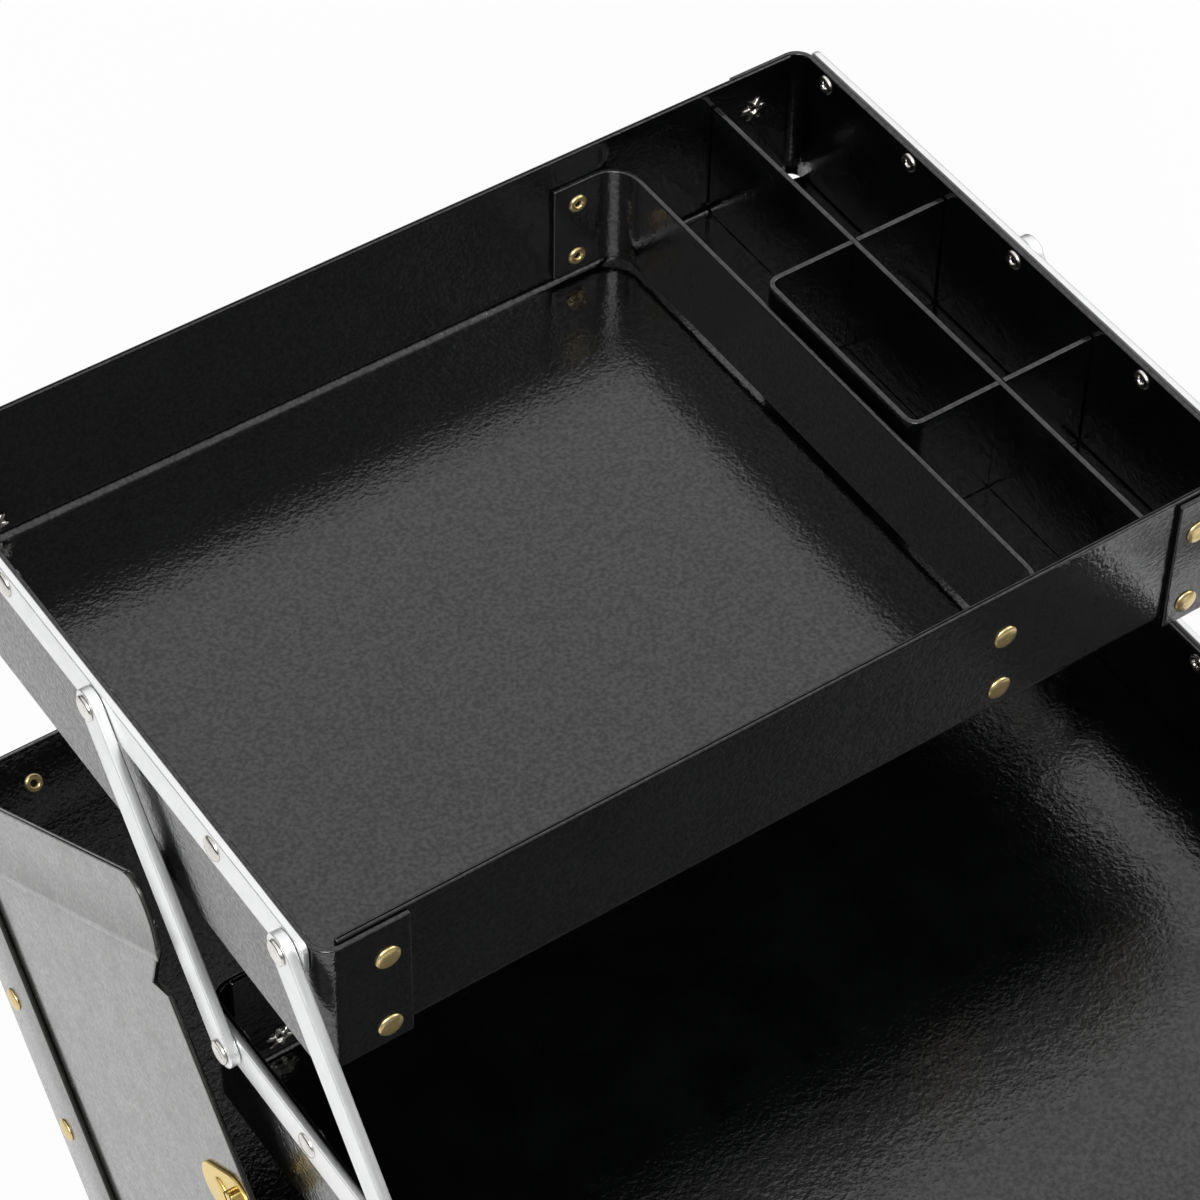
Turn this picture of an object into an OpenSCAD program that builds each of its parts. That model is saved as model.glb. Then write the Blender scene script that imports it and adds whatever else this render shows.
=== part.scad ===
// Shoe care storage box with three tiers: a low body, two trays on swinging links and a deep hinged lid.
// It is drawn open, as it is used: both trays raised and stepped to the back, the lid tipped back under them.
// All sizes are in millimetres. X is the width, Y runs to the back, Z is up, and the table is at Z = 0.

/* [Board] */
// thickness of the fibre board
board = 1.6; // [1.2:0.1:2.4]
// outer radius of the upright corners
corner_r = 6; // [5:0.5:11]
// outer radius of the fold between floor and wall
fold_r = 4; // [3:0.5:6]
// length of an end board's flange, from the end
flange_len = 25.6; // [24:0.2:30]
// how far an end board stops below the rim
wrap_drop = 1; // [0.5:0.1:2]

/* [Trays] */
// width of both trays
tray_w = 285; // [260:1:320]
// depth of both trays over their flanges
tray_d = 200; // [190:1:230]
// height of the upper tray
upper_h = 47; // [42:0.5:60]
// height of the lower tray
lower_h = 40; // [36:0.5:50]

/* [Body] */
// height of the body
body_h = 72.7; // [68:0.1:84]
// free space in front of and behind a folded tray
tray_room = 4.4; // [4:0.1:8]
// space between a tray's end and the body's end
side_room = 6.8; // [6.6:0.1:9]

/* [Links] */
// width of a link
link_w = 10; // [8:0.5:12]
// thickness of a link
link_t = 3; // [2:0.1:3.2]
// thickness of the bars and rails on the tray ends
bar_t = 2; // [1.2:0.1:2]
// height of the bars and rails
bar_h = 11; // [10:0.5:14]
// gap between a link and the bar or rail it swings on
link_gap = 0.2; // [0.15:0.05:0.3]
// radius of a pivot pin
pin_r = 2; // [1.6:0.1:2.4]
// radial clearance of a pin in a link
pin_fit = 0.06; // [0.02:0.01:0.1]
// length of a lower link between its pivots
lower_link_len = 121; // [112:0.5:130]
// angle of an open lower link from the horizontal
lower_open = 91.4; // [88:0.1:94]
// rise of a lower link when the trays are folded
lower_rise = 40; // [36:0.5:46]
// length of an upper link between its pivots
upper_link_len = 96.5; // [92:0.5:104]
// angle of an open upper link from the horizontal
upper_open = 54.4; // [50:0.2:58]
// gap between the folded trays
stack_gap = 1; // [0.5:0.1:3]
// distance between the two upper links
upper_pitch = 90; // [80:1:95]
// distance between the two lower links
lower_pitch = 50; // [44:1:56]
// height of a pivot below the rim it hangs from
pivot_drop = 5; // [5:0.1:6]
// height of the lower links' pivots above the lower tray's bottom
bracket_rise = 8; // [7:0.5:10]
// distance of the rear body pivot from the body's back
body_pivot_in = 18; // [18:0.5:24]
// distance of the body pivots below the body's rim
body_pivot_drop = 6; // [6:0.5:8]

/* [Lid] */
// opening angle of the lid
lid_open = 125; // [120:0.5:128]
// height of the lid's chamfered shoulder
lid_rise = 22; // [18:0.5:26]
// distance of the hinge axis behind the body
hinge_out = 2.5; // [2.5:0.1:3.5]
// outer radius of a hinge knuckle
knuckle_r = 2.4; // [2.2:0.1:2.4]
// radius of a hinge pin
hinge_pin_r = 1.2; // [1:0.1:1.4]
// length of a hinge
hinge_len = 60; // [40:1:80]
// distance of a hinge's middle from the box's middle
hinge_x = 85; // [70:1:95]
// depth of the relief notch in the cheek's rim
notch_deep = 13; // [8:0.5:16]

/* [Rivets] */
// radius of a rivet's domed head
head_r = 3.5; // [2.8:0.1:3.8]
// height of a rivet's domed head
head_h = 1.2; // [0.8:0.1:1.4]
// radius of a rivet's shank
shank_r = 1.5; // [1.2:0.1:1.8]
// radial clearance of a rivet in its hole
rivet_fit = 0.05; // [0.02:0.01:0.1]
// radius of a rivet's spread tail
tail_r = 2.9; // [2.4:0.1:3.2]
// height of a rivet's spread tail
tail_h = 0.8; // [0.5:0.1:1]
// height of a pivot pin's flat head
pin_head_h = 0.9; // [0.7:0.1:1]
// distance of the corner rivets from the end
corner_rivet_in = 18.8; // [18:0.2:20]

/* [Compartments] */
// distance of the partition from the right end of the upper tray
partition_in = 65; // [60:1:80]
// length of the partition's bent flange
partition_flange = 22; // [18:1:26]
// how far the partition stops below the rim
partition_drop = 10; // [8:0.5:14]
// how far the cell walls stop below the rim
cell_drop = 6; // [4:0.5:8]
// clearance on each side of the half laps
lap_gap = 0.15; // [0.1:0.05:0.3]

/* [Latches] */
// distance of the latches in front of the middle
latch_ahead = 10; // [0:1:20]
// width of a latch
latch_w = 16; // [12:1:20]
// thickness of the latch plates
latch_t = 1; // [0.8:0.1:1.2]
// length of the hanging hasp
hasp_len = 34; // [28:1:38]

/* [Hidden] */
round_fn = 48;
corner_fn = 96;
cut = 1;
board_black = [0.06, 0.06, 0.065];
alloy = [0.8, 0.81, 0.83];
brass = [0.78, 0.6, 0.25];

// Plan sizes of the body and lid follow the trays.
body_w = tray_w + 2 * (side_room + board);
body_d = tray_d + 2 * (tray_room + board);
body_x = body_w / 2;
tray_x = tray_w / 2;

// Folded and open places of the trays follow the links.
lower_run = sqrt(lower_link_len * lower_link_len - lower_rise * lower_rise);
upper_rise = upper_h + stack_gap;
upper_run = sqrt(upper_link_len * upper_link_len - upper_rise * upper_rise);
body_pivot_y = body_d / 2 - body_pivot_in;
body_pivot_z = body_h - body_pivot_drop;
bracket_y = body_pivot_y - lower_run;
lower_z_folded = body_pivot_z + lower_rise - bracket_rise;
lower_y = body_pivot_y + lower_link_len * cos(lower_open) - bracket_y;
lower_z = body_pivot_z + lower_link_len * sin(lower_open) - bracket_rise;
upper_pivot_y = 0;
rail_pivot_y = upper_pivot_y + upper_run;
rail_pivot_z = lower_h - pivot_drop;
bar_pivot_z = upper_h - pivot_drop;
upper_y = lower_y + rail_pivot_y + upper_link_len * cos(upper_open) - upper_pivot_y;
upper_z = lower_z + rail_pivot_z + upper_link_len * sin(upper_open) - bar_pivot_z;

// Layers outside a tray's end, counted from the end.
link_in = bar_t + link_gap;
link_out = link_in + link_t;
head_gap = 0.1;
body_rail_t = side_room - link_out - link_gap;
pin_head_r = 3.6;
pin_tail_r = tail_r + 0.6;
tail_clear = 0.1;

// The lid's walls are as tall as the tilt needs for its rear shoulder to lie on the table.
lid_lean = 180 - lid_open;
hinge_y = body_d / 2 + hinge_out;
lid_wall = (body_h + (hinge_out + board) * sin(lid_lean)) / cos(lid_lean);
lid_table_gap = 0.5;
lid_wrap_h = (body_h + hinge_out * sin(lid_lean)) / cos(lid_lean) - lid_table_gap;
lid_h = lid_wall + lid_rise;
lid_chamfer = lid_rise * cos(lid_lean) / sin(lid_lean);
wall_y = body_d / 2 - board;
band_h = lid_rise + board;
notch_start = 20 - wall_y;
notch_stop = notch_start + 13;
notch_step = 2;
lid_rivet_in = 14.7;
lid_rivet_low = 28;
lid_rivet_high = 104;
band_pitch = 43.1;
band_shift = 5.5;
band_edge = 7.5;
band_rows = [-2, -1, 0, 1];

// Rivet places.
dome_r = (head_r * head_r + head_h * head_h) / (2 * head_h);
upper_corner_zs = [6.8, upper_h - 13.4];
lower_corner_zs = [8.3, lower_h - 10.4];
body_corner_zs = [12, body_h / 2, body_h - 14];
bar_end = 4;
bar_len = tray_d - 2 * bar_end;
upper_fix_ys = [-55, 47, 86];
lower_fix_ys = [47.5, -50];
body_fix_ys = [8];
body_rail_end = body_d / 2 - corner_r - 0.3;
body_rail_start = body_fix_ys[0] - 8;
body_rail_len = body_rail_end - body_rail_start;
body_rail_mid = (body_rail_end + body_rail_start) / 2;
bracket_len = lower_pitch + 14;
upper_pivots = [upper_pivot_y, upper_pivot_y - upper_pitch];
rail_pivots = [rail_pivot_y, rail_pivot_y - upper_pitch];
bracket_pivots = [bracket_y, bracket_y - lower_pitch];
body_pivots = [body_pivot_y, body_pivot_y - lower_pitch];

// Compartment places, from the middle of the upper tray.
partition_x = tray_x - partition_in;
partition_bend = 8;
insert_x = partition_x + board / 2 + 2.6;
insert_arms = [-34, 31];
insert_corner = 3;
divider_x = tray_x - 32.5;
wall_in_y = tray_d / 2 - 2 * board;
end_in_x = tray_x - board;
cell_h = upper_h - cell_drop - board;
cell_gap = 0.3;
partition_rivet_in = 15;
partition_rivet_low = 9.6;
partition_rivet_gap = 19.8;
partition_zs = [partition_rivet_low, partition_rivet_low + partition_rivet_gap];

// Latch places.
latch_y = -latch_ahead;
latch_axis_z = body_h - 16;
latch_knuckle_r = 1.8;
latch_clear = 0.3;
latch_axis_x = body_x + latch_t + latch_knuckle_r + latch_clear;
latch_pin_r = 0.9;
latch_leaf_h = 20;
latch_third = latch_w / 3;
latch_side_gap = 0.15;
keeper_w = 15;
keeper_low = 3;
keeper_high = 32;

// Draws a Y and Z profile along the width.
module along_x(length) {
  rotate([90, 0, 90])
    linear_extrude(height = length, center = true)
      children();
}

// A rectangle with four round corners.
module round_rect(w, d, r) {
  square([w - 2 * r, d], center = true);
  square([w, d - 2 * r], center = true);
  for (sx = [-1, 1]) {
    for (sy = [-1, 1]) {
      translate([sx * (w / 2 - r), sy * (d / 2 - r)])
        circle(r = r, $fn = corner_fn);
    }
  }
}

// A flat bar with fully round ends, along the first axis.
module stadium(length, w) {
  square([length - w, w], center = true);
  for (s = [-1, 1]) {
    translate([s * (length - w) / 2, 0])
      circle(d = w, $fn = round_fn);
  }
}

// A trough's outline with round bottom corners.
module trough(w, h, r) {
  translate([-w / 2, r])
    square([w, h - r]);
  translate([-w / 2 + r, 0])
    square([w - 2 * r, h]);
  for (s = [-1, 1]) {
    translate([s * (w / 2 - r), r])
      circle(r = r, $fn = round_fn);
  }
}

// The folded front, floor and back of one board.
module folded_shell(w, d, h) {
  inner_d = d - 2 * board;
  along_x(w - 2 * corner_r) {
    difference() {
      trough(inner_d, h, fold_r);
      translate([0, board])
        trough(inner_d - 2 * board, h, fold_r - board);
    }
  }
  linear_extrude(height = board)
    intersection() {
      square([w - 2 * board, inner_d - 2 * fold_r], center = true);
      round_rect(w - 2 * board, inner_d, corner_r - board);
    }
}

// The plan of a right end board: the wall, both round corners and both flanges.
module end_plan(w, d) {
  intersection() {
    difference() {
      round_rect(w, d, corner_r);
      round_rect(w - 2 * board, d - 2 * board, corner_r - board);
    }
    translate([w / 2 - flange_len, -d / 2 - cut])
      square([flange_len + cut, d + 2 * cut]);
  }
}

// A domed rivet along Z, its seat at zero and its tail below the grip.
module rivet(grip) {
  rotate_extrude($fn = round_fn) {
    intersection() {
      translate([0, head_h - dome_r])
        circle(r = dome_r, $fn = corner_fn);
      square([head_r, head_h]);
    }
    translate([0, -grip])
      square([shank_r, grip]);
    translate([0, -grip - tail_h])
      square([tail_r, tail_h]);
  }
}

// A pivot pin along Z: its stem reaches through the tail, and its flat head lies above the moving link.
module pivot_pin(grip, reach) {
  rotate_extrude($fn = round_fn) {
    translate([0, -grip - tail_h])
      square([pin_r, grip + tail_h + reach]);
    translate([0, reach])
      square([pin_head_r, pin_head_h]);
  }
}

// A pivot pin's spread tail along Z, below the grip.
module pin_tail(grip) {
  translate([0, 0, -grip - tail_h])
    cylinder(r = pin_tail_r, h = tail_h, $fn = round_fn);
}

// A hole for a shank of the given radius, both ways along Z.
module shank_hole(r) {
  cylinder(r = r + rivet_fit, h = 12, center = true, $fn = round_fn);
}

// The four corners of a tray, each with its row of rivets, facing out along Y.
module corner_spots(w, d, zs, inset) {
  for (sx = [-1, 1]) {
    for (sy = [-1, 1]) {
      for (z = zs) {
        translate([sx * (w / 2 - inset), sy * d / 2, z])
          rotate([-90 * sy, 0, 0])
            children();
      }
    }
  }
}

// Places along one end, facing out along X.
module end_spots(side, x, ys, z) {
  for (y = ys) {
    translate([side * x, y, z])
      rotate([0, 90 * side, 0])
        children();
  }
}

// Moves a piece from its tray's own place to the open place.
module at_lower() {
  translate([0, lower_y, lower_z])
    children();
}
module at_upper() {
  translate([0, upper_y, upper_z])
    children();
}
module lid_pose() {
  translate([0, hinge_y, body_h])
    rotate([-lid_open, 0, 0])
      translate([0, -hinge_y, 0])
        children();
}

// One link from a pivot at Y and Z, leaning at an angle.
module link(side, y, z, length, angle) {
  color(alloy)
    translate([side * (tray_x + link_in + link_t / 2), y, z])
      rotate([angle, 0, 0])
        rotate([90, 0, 90])
          linear_extrude(height = link_t, center = true)
            difference() {
              translate([length / 2, 0])
                stadium(length + link_w, link_w);
              circle(r = pin_r + pin_fit, $fn = round_fn);
              translate([length, 0])
                circle(r = pin_r + pin_fit, $fn = round_fn);
            }
}

// A flat rail on an end, with holes for its rivets and pins.
module flat_rail(side, x, thick, length, high, mid_y, z, fixes, fix_z, pivots, pivot_z) {
  color(alloy)
    difference() {
      translate([side * (x + thick / 2), mid_y, z])
        rotate([90, 0, 90])
          linear_extrude(height = thick, center = true)
            stadium_bar(length, high);
      end_spots(side, x, fixes, fix_z) shank_hole(shank_r);
      end_spots(side, x, pivots, pivot_z) shank_hole(pin_r);
    }
}

// A flat bar with small round corners.
module stadium_bar(length, high) {
  round_rect(length, high, 2.5);
}

// Body.
module body_shell() {
  color(board_black)
    difference() {
      folded_shell(body_w, body_d, body_h);
      corner_spots(body_w, body_d, body_corner_zs, corner_rivet_in) shank_hole(shank_r);
    }
}

module body_end(side) {
  color(board_black)
    difference() {
      mirror([side < 0 ? 1 : 0, 0, 0])
        linear_extrude(height = body_h - wrap_drop)
          end_plan(body_w, body_d);
      corner_spots(body_w, body_d, body_corner_zs, corner_rivet_in) shank_hole(shank_r);
      end_spots(side, body_x, body_fix_ys, body_pivot_z) shank_hole(shank_r);
      end_spots(side, body_x, body_pivots, body_pivot_z) shank_hole(pin_r);
    }
}
module body_end_left() {
  body_end(-1);
}
module body_end_right() {
  body_end(1);
}

module body_corner_rivets() {
  color(brass)
    corner_spots(body_w, body_d, body_corner_zs, corner_rivet_in) rivet(2 * board);
}

module body_rail(side) {
  flat_rail(side, tray_x + link_out + link_gap, body_rail_t, body_rail_len, bar_h, body_rail_mid,
    body_pivot_z, body_fix_ys, body_pivot_z, body_pivots, body_pivot_z);
}
module body_rail_left() {
  body_rail(-1);
}
module body_rail_right() {
  body_rail(1);
}

module body_rail_rivets() {
  color(brass)
    for (side = [-1, 1]) {
      end_spots(side, body_x, body_fix_ys, body_pivot_z) rivet(board + body_rail_t);
    }
}

// The body's pins are headed on the outside and spread over the link on the inside.
module body_pivot_pins() {
  color(brass)
    for (side = [-1, 1]) {
      end_spots(side, body_x, body_pivots, body_pivot_z)
        mirror([0, 0, 1]) {
          pivot_pin(0, board + body_rail_t + link_gap + link_t + head_gap);
          pin_tail(0);
        }
    }
}

// One leaf of a hinge below the axis: the plate on the wall, the web and its knuckles.
module hinge_leaf_profile() {
  plate_y = -hinge_out - board;
  difference() {
    union() {
      translate([plate_y, -20])
        square([1.2, 20 - knuckle_r + 1.2]);
      translate([plate_y, -knuckle_r])
        square([-plate_y, 1.2]);
      circle(r = knuckle_r, $fn = round_fn);
    }
    circle(r = hinge_pin_r + pin_fit, $fn = round_fn);
  }
}
module leaf_plate() {
  plate_y = -hinge_out - board;
  translate([plate_y, -20])
    square([1.2, 20 - knuckle_r - 0.6]);
}

module body_hinge_leaves() {
  third = hinge_len / 3;
  color(brass)
    for (sx = [-1, 1]) {
      translate([sx * hinge_x, hinge_y, body_h]) {
        along_x(hinge_len)
          leaf_plate();
        for (s = [-1, 1]) {
          translate([s * third, 0, 0])
            along_x(third - 0.3)
              hinge_leaf_profile();
        }
      }
    }
}

module lid_hinge_leaves() {
  third = hinge_len / 3;
  color(brass)
    lid_pose()
      for (sx = [-1, 1]) {
        translate([sx * hinge_x, hinge_y, 0])
          mirror([0, 0, 1]) {
            along_x(hinge_len)
              leaf_plate();
            along_x(third - 0.3)
              hinge_leaf_profile();
          }
      }
}

module hinge_pins() {
  color(alloy)
    for (sx = [-1, 1]) {
      translate([sx * hinge_x, hinge_y, body_h])
        rotate([0, 90, 0])
          cylinder(r = hinge_pin_r, h = hinge_len + 1, center = true, $fn = round_fn);
    }
}

// Links.
module lower_link_left_rear() {
  link(-1, body_pivots[0], body_pivot_z, lower_link_len, lower_open);
}
module lower_link_left_front() {
  link(-1, body_pivots[1], body_pivot_z, lower_link_len, lower_open);
}
module lower_link_right_rear() {
  link(1, body_pivots[0], body_pivot_z, lower_link_len, lower_open);
}
module lower_link_right_front() {
  link(1, body_pivots[1], body_pivot_z, lower_link_len, lower_open);
}
module upper_link(side, row) {
  at_lower()
    link(side, rail_pivots[row], rail_pivot_z, upper_link_len, upper_open);
}
module upper_link_left_rear() {
  upper_link(-1, 0);
}
module upper_link_left_front() {
  upper_link(-1, 1);
}
module upper_link_right_rear() {
  upper_link(1, 0);
}
module upper_link_right_front() {
  upper_link(1, 1);
}

// Lower tray.
module lower_tray_shell() {
  color(board_black)
    at_lower()
      difference() {
        folded_shell(tray_w, tray_d, lower_h);
        corner_spots(tray_w, tray_d, lower_corner_zs, corner_rivet_in) shank_hole(shank_r);
      }
}
module lower_end(side) {
  color(board_black)
    at_lower()
      difference() {
        mirror([side < 0 ? 1 : 0, 0, 0])
          linear_extrude(height = lower_h - wrap_drop)
            end_plan(tray_w, tray_d);
        corner_spots(tray_w, tray_d, lower_corner_zs, corner_rivet_in) shank_hole(shank_r);
        end_spots(side, tray_x, lower_fix_ys, rail_pivot_z) shank_hole(shank_r);
        end_spots(side, tray_x, rail_pivots, rail_pivot_z) shank_hole(pin_r);
        end_spots(side, tray_x, bracket_pivots, bracket_rise) shank_hole(pin_r);
      }
}
module lower_end_left() {
  lower_end(-1);
}
module lower_end_right() {
  lower_end(1);
}
module lower_corner_rivets() {
  color(brass)
    at_lower()
      corner_spots(tray_w, tray_d, lower_corner_zs, corner_rivet_in) rivet(2 * board);
}
module lower_rail(side) {
  at_lower()
    flat_rail(side, tray_x, bar_t, bar_len, bar_h, 0, lower_h - bar_h / 2, lower_fix_ys, rail_pivot_z,
      rail_pivots, rail_pivot_z);
}
module lower_rail_left() {
  lower_rail(-1);
}
module lower_rail_right() {
  lower_rail(1);
}
module lower_rail_rivets() {
  color(brass)
    at_lower()
      for (side = [-1, 1]) {
        end_spots(side, tray_x + bar_t, lower_fix_ys, rail_pivot_z) rivet(board + bar_t);
      }
}
module lower_bracket(side) {
  at_lower()
    flat_rail(side, tray_x, bar_t, bracket_len, bar_h, bracket_y - lower_pitch / 2, bracket_rise, [],
      bracket_rise, bracket_pivots, bracket_rise);
}
module lower_bracket_left() {
  lower_bracket(-1);
}
module lower_bracket_right() {
  lower_bracket(1);
}

// Pins at both ends of a tray, whose tails are cut back where they meet a round corner.
module end_pins(ys, z) {
  inset = 2 * (board + tail_clear);
  for (side = [-1, 1]) {
    end_spots(side, tray_x + bar_t, ys, z)
      pivot_pin(board + bar_t, link_gap + link_t + head_gap);
    intersection() {
      end_spots(side, tray_x + bar_t, ys, z)
        pin_tail(board + bar_t);
      translate([0, 0, z - pin_tail_r - cut])
        linear_extrude(height = 2 * (pin_tail_r + cut))
          round_rect(tray_w - inset, tray_d - inset, corner_r - inset / 2);
    }
  }
}
module lower_bracket_pins() {
  color(brass)
    at_lower()
      end_pins(bracket_pivots, bracket_rise);
}
module lower_rail_pins() {
  color(brass)
    at_lower()
      end_pins(rail_pivots, rail_pivot_z);
}

// Upper tray.
module upper_tray_shell() {
  color(board_black)
    at_upper()
      difference() {
        folded_shell(tray_w, tray_d, upper_h);
        corner_spots(tray_w, tray_d, upper_corner_zs, corner_rivet_in) shank_hole(shank_r);
        partition_spots() shank_hole(shank_r);
      }
}
module upper_end(side) {
  color(board_black)
    at_upper()
      difference() {
        mirror([side < 0 ? 1 : 0, 0, 0])
          linear_extrude(height = upper_h - wrap_drop)
            end_plan(tray_w, tray_d);
        corner_spots(tray_w, tray_d, upper_corner_zs, corner_rivet_in) shank_hole(shank_r);
        end_spots(side, tray_x, upper_fix_ys, bar_pivot_z) shank_hole(shank_r);
        end_spots(side, tray_x, upper_pivots, bar_pivot_z) shank_hole(pin_r);
      }
}
module upper_end_left() {
  upper_end(-1);
}
module upper_end_right() {
  upper_end(1);
}
module upper_corner_rivets() {
  color(brass)
    at_upper()
      corner_spots(tray_w, tray_d, upper_corner_zs, corner_rivet_in) rivet(2 * board);
}
module upper_bar(side) {
  at_upper()
    flat_rail(side, tray_x, bar_t, bar_len, bar_h, 0, upper_h - bar_h / 2, upper_fix_ys, bar_pivot_z,
      upper_pivots, bar_pivot_z);
}
module upper_bar_left() {
  upper_bar(-1);
}
module upper_bar_right() {
  upper_bar(1);
}
module upper_bar_rivets() {
  color(brass)
    at_upper()
      for (side = [-1, 1]) {
        end_spots(side, tray_x + bar_t, upper_fix_ys, bar_pivot_z) rivet(board + bar_t);
      }
}
module upper_bar_pins() {
  color(brass)
    at_upper()
      end_pins(upper_pivots, bar_pivot_z);
}

// The partition's four rivets, facing out along Y.
module partition_spots() {
  for (sy = [-1, 1]) {
    for (z = partition_zs) {
      translate([partition_x - partition_rivet_in, sy * (tray_d / 2 - board), z])
        rotate([-90 * sy, 0, 0])
          children();
    }
  }
}

// Plan of the partition: a straight wall with both ends bent to the left.
module partition_plan() {
  half = wall_in_y;
  bend = partition_bend;
  square([board, 2 * (half - bend - board)], center = true);
  for (sy = [-1, 1]) {
    translate([-board / 2 - bend, sy * (half - board - bend)])
      intersection() {
        difference() {
          circle(r = bend + board, $fn = round_fn);
          circle(r = bend, $fn = round_fn);
        }
        translate([0, sy > 0 ? 0 : -bend - board - cut])
          square(bend + board + cut);
      }
    translate([-board / 2 - partition_flange, sy > 0 ? half - board : -half])
      square([partition_flange - bend, board]);
  }
}
module partition() {
  color(board_black)
    at_upper()
      difference() {
        translate([partition_x, 0, fold_r])
          linear_extrude(height = upper_h - partition_drop - fold_r)
            partition_plan();
        partition_spots() shank_hole(shank_r);
      }
}
module partition_rivets() {
  color(brass)
    at_upper()
      partition_spots() rivet(2 * board);
}

// Plan of the cell insert: a base along the partition and two arms to the end wall.
module insert_outline(inset) {
  low = insert_arms[0] - board / 2 + inset;
  high = insert_arms[1] + board / 2 - inset;
  left = insert_x - board / 2 + inset;
  right = end_in_x - cell_gap + (inset > 0 ? cut : 0);
  bevel = insert_corner - inset * (2 - sqrt(2));
  polygon([[left + bevel, low], [right, low], [right, high], [left + bevel, high], [left, high - bevel],
    [left, low + bevel]]);
}
module cell_insert() {
  color(board_black)
    at_upper()
      difference() {
        translate([0, 0, board])
          linear_extrude(height = cell_h)
            difference() {
              insert_outline(0);
              insert_outline(board);
            }
        translate([divider_x, 0, board + cell_h])
          cube([board + 2 * lap_gap, tray_d / 2, cell_h], center = true);
      }
}
module long_divider() {
  color(board_black)
    at_upper()
      difference() {
        translate([divider_x, 0, board + cell_h / 2])
          intersection() {
            cube([board, 2 * (wall_in_y - cell_gap), cell_h], center = true);
            translate([0, 0, -board - cell_h / 2])
              along_x(board + cut)
                translate([0, board])
                  trough(2 * (wall_in_y - cell_gap), upper_h, fold_r - board);
          }
        for (y = insert_arms) {
          translate([divider_x, y, board])
            cube([board + cut, board + 2 * lap_gap, cell_h + 2 * lap_gap], center = true);
        }
      }
}

// Lid, drawn closed from its rim at zero and then tipped back. It is open at the front.
lid_shoulder = atan(lid_chamfer / lid_rise);
hood_front = wall_y - 2;
cheek_corner = 6;
lip_deep = 24;
lip_rivet_in = 10.6;
lip_rivet_x = body_x - 28.2;
lip_gap = 0.3;
module hood_outline(inset, front) {
  past = inset > 0 ? cut : 0;
  top_y = wall_y - lid_chamfer - inset * tan((90 - lid_shoulder) / 2);
  low_z = lid_wall - inset * tan(lid_shoulder / 2);
  side_y = wall_y - inset;
  polygon([[-front, -past], [side_y, -past], [side_y, low_z], [top_y, lid_h - inset], [-front, lid_h - inset]]);
}

// A cheek's plate runs past the hood at the front and has a round corner at the rim there.
module cheek_outline() {
  front = body_d / 2;
  flat_y = front - corner_r;
  translate([-front, cheek_corner])
    square([front + flat_y, lid_h]);
  translate([cheek_corner - front, 0])
    square([front + flat_y - cheek_corner, lid_h]);
  translate([cheek_corner - front, cheek_corner])
    circle(r = cheek_corner, $fn = corner_fn);
}

module lid_corner_spots() {
  for (sx = [-1, 1]) {
    for (z = [lid_rivet_low, lid_rivet_high]) {
      translate([sx * (body_x - lid_rivet_in), body_d / 2, z])
        rotate([-90, 0, 0])
          children();
    }
  }
}
module lip_spots() {
  for (i = [-1, -1 / 3, 1 / 3, 1]) {
    translate([i * lip_rivet_x, lip_rivet_in - hood_front, lid_h])
      children();
  }
}
module band_spots(side) {
  end_spots(side, body_x + board, [for (i = band_rows) band_shift + i * band_pitch], lid_h - band_edge)
    children();
}

module lid_hood() {
  color(board_black)
    lid_pose()
      difference() {
        along_x(body_w)
          difference() {
            hood_outline(0, hood_front);
            hood_outline(board, hood_front + cut);
          }
        for (sx = [-1, 1]) {
          translate([sx * body_x, 0, 0])
            cube([2 * corner_r, body_d + cut, 2 * lid_wall], center = true);
        }
        lid_corner_spots() shank_hole(shank_r);
        lip_spots() shank_hole(shank_r);
      }
}

// The lip: a strip that doubles the top's free front edge from inside.
module lid_lip() {
  color(board_black)
    lid_pose()
      difference() {
        translate([board + lip_gap - body_x, -hood_front, lid_h - 2 * board])
          cube([2 * (body_x - board - lip_gap), lip_deep, board]);
        lip_spots() shank_hole(shank_r);
      }
}

// A cheek: its rounded wrap at the back below the shoulder and its flat plate up to the top.
module lid_cheek(side) {
  color(board_black)
    lid_pose()
      difference() {
        mirror([side < 0 ? 1 : 0, 0, 0]) {
          linear_extrude(height = lid_wrap_h)
            intersection() {
              end_plan(body_w, body_d);
              square([body_w, body_d]);
            }
          translate([body_x - board / 2, 0, 0])
            along_x(board)
              intersection() {
                hood_outline(board, body_d / 2);
                cheek_outline();
              }
        }
        lid_corner_spots() shank_hole(shank_r);
        band_spots(side) shank_hole(shank_r);
        translate([side * body_x, 0, 0])
          along_x(4 * board)
            polygon([[notch_start, -cut], [notch_start, 0], [notch_stop - notch_step, notch_deep],
              [notch_stop, 0], [notch_stop, -cut]]);
        end_spots(side, body_x, [latch_y], keeper_rivet_z) shank_hole(shank_r);
      }
}
keeper_rivet_z = 20;
module lid_cheek_left() {
  lid_cheek(-1);
}
module lid_cheek_right() {
  lid_cheek(1);
}

// A band over the cheek's top edge.
module lid_band(side) {
  top_y = wall_y - lid_chamfer;
  color(board_black)
    lid_pose()
      difference() {
        translate([side * (body_x + board / 2), 0, 0])
          along_x(board)
            polygon([[-hood_front, lid_h - band_h], [top_y, lid_h - band_h],
              [top_y + lid_chamfer * 0.6, lid_h - lid_rise * 0.6 - 5],
              [top_y + lid_chamfer * 0.6, lid_h - lid_rise * 0.6], [top_y, lid_h], [-hood_front, lid_h]]);
        band_spots(side) shank_hole(shank_r);
      }
}
module lid_band_left() {
  lid_band(-1);
}
module lid_band_right() {
  lid_band(1);
}

module lid_rivets() {
  color(brass)
    lid_pose() {
      lid_corner_spots() rivet(2 * board);
      lip_spots() rivet(2 * board);
      for (side = [-1, 1]) {
        band_spots(side) rivet(2 * board);
      }
    }
}

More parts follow.
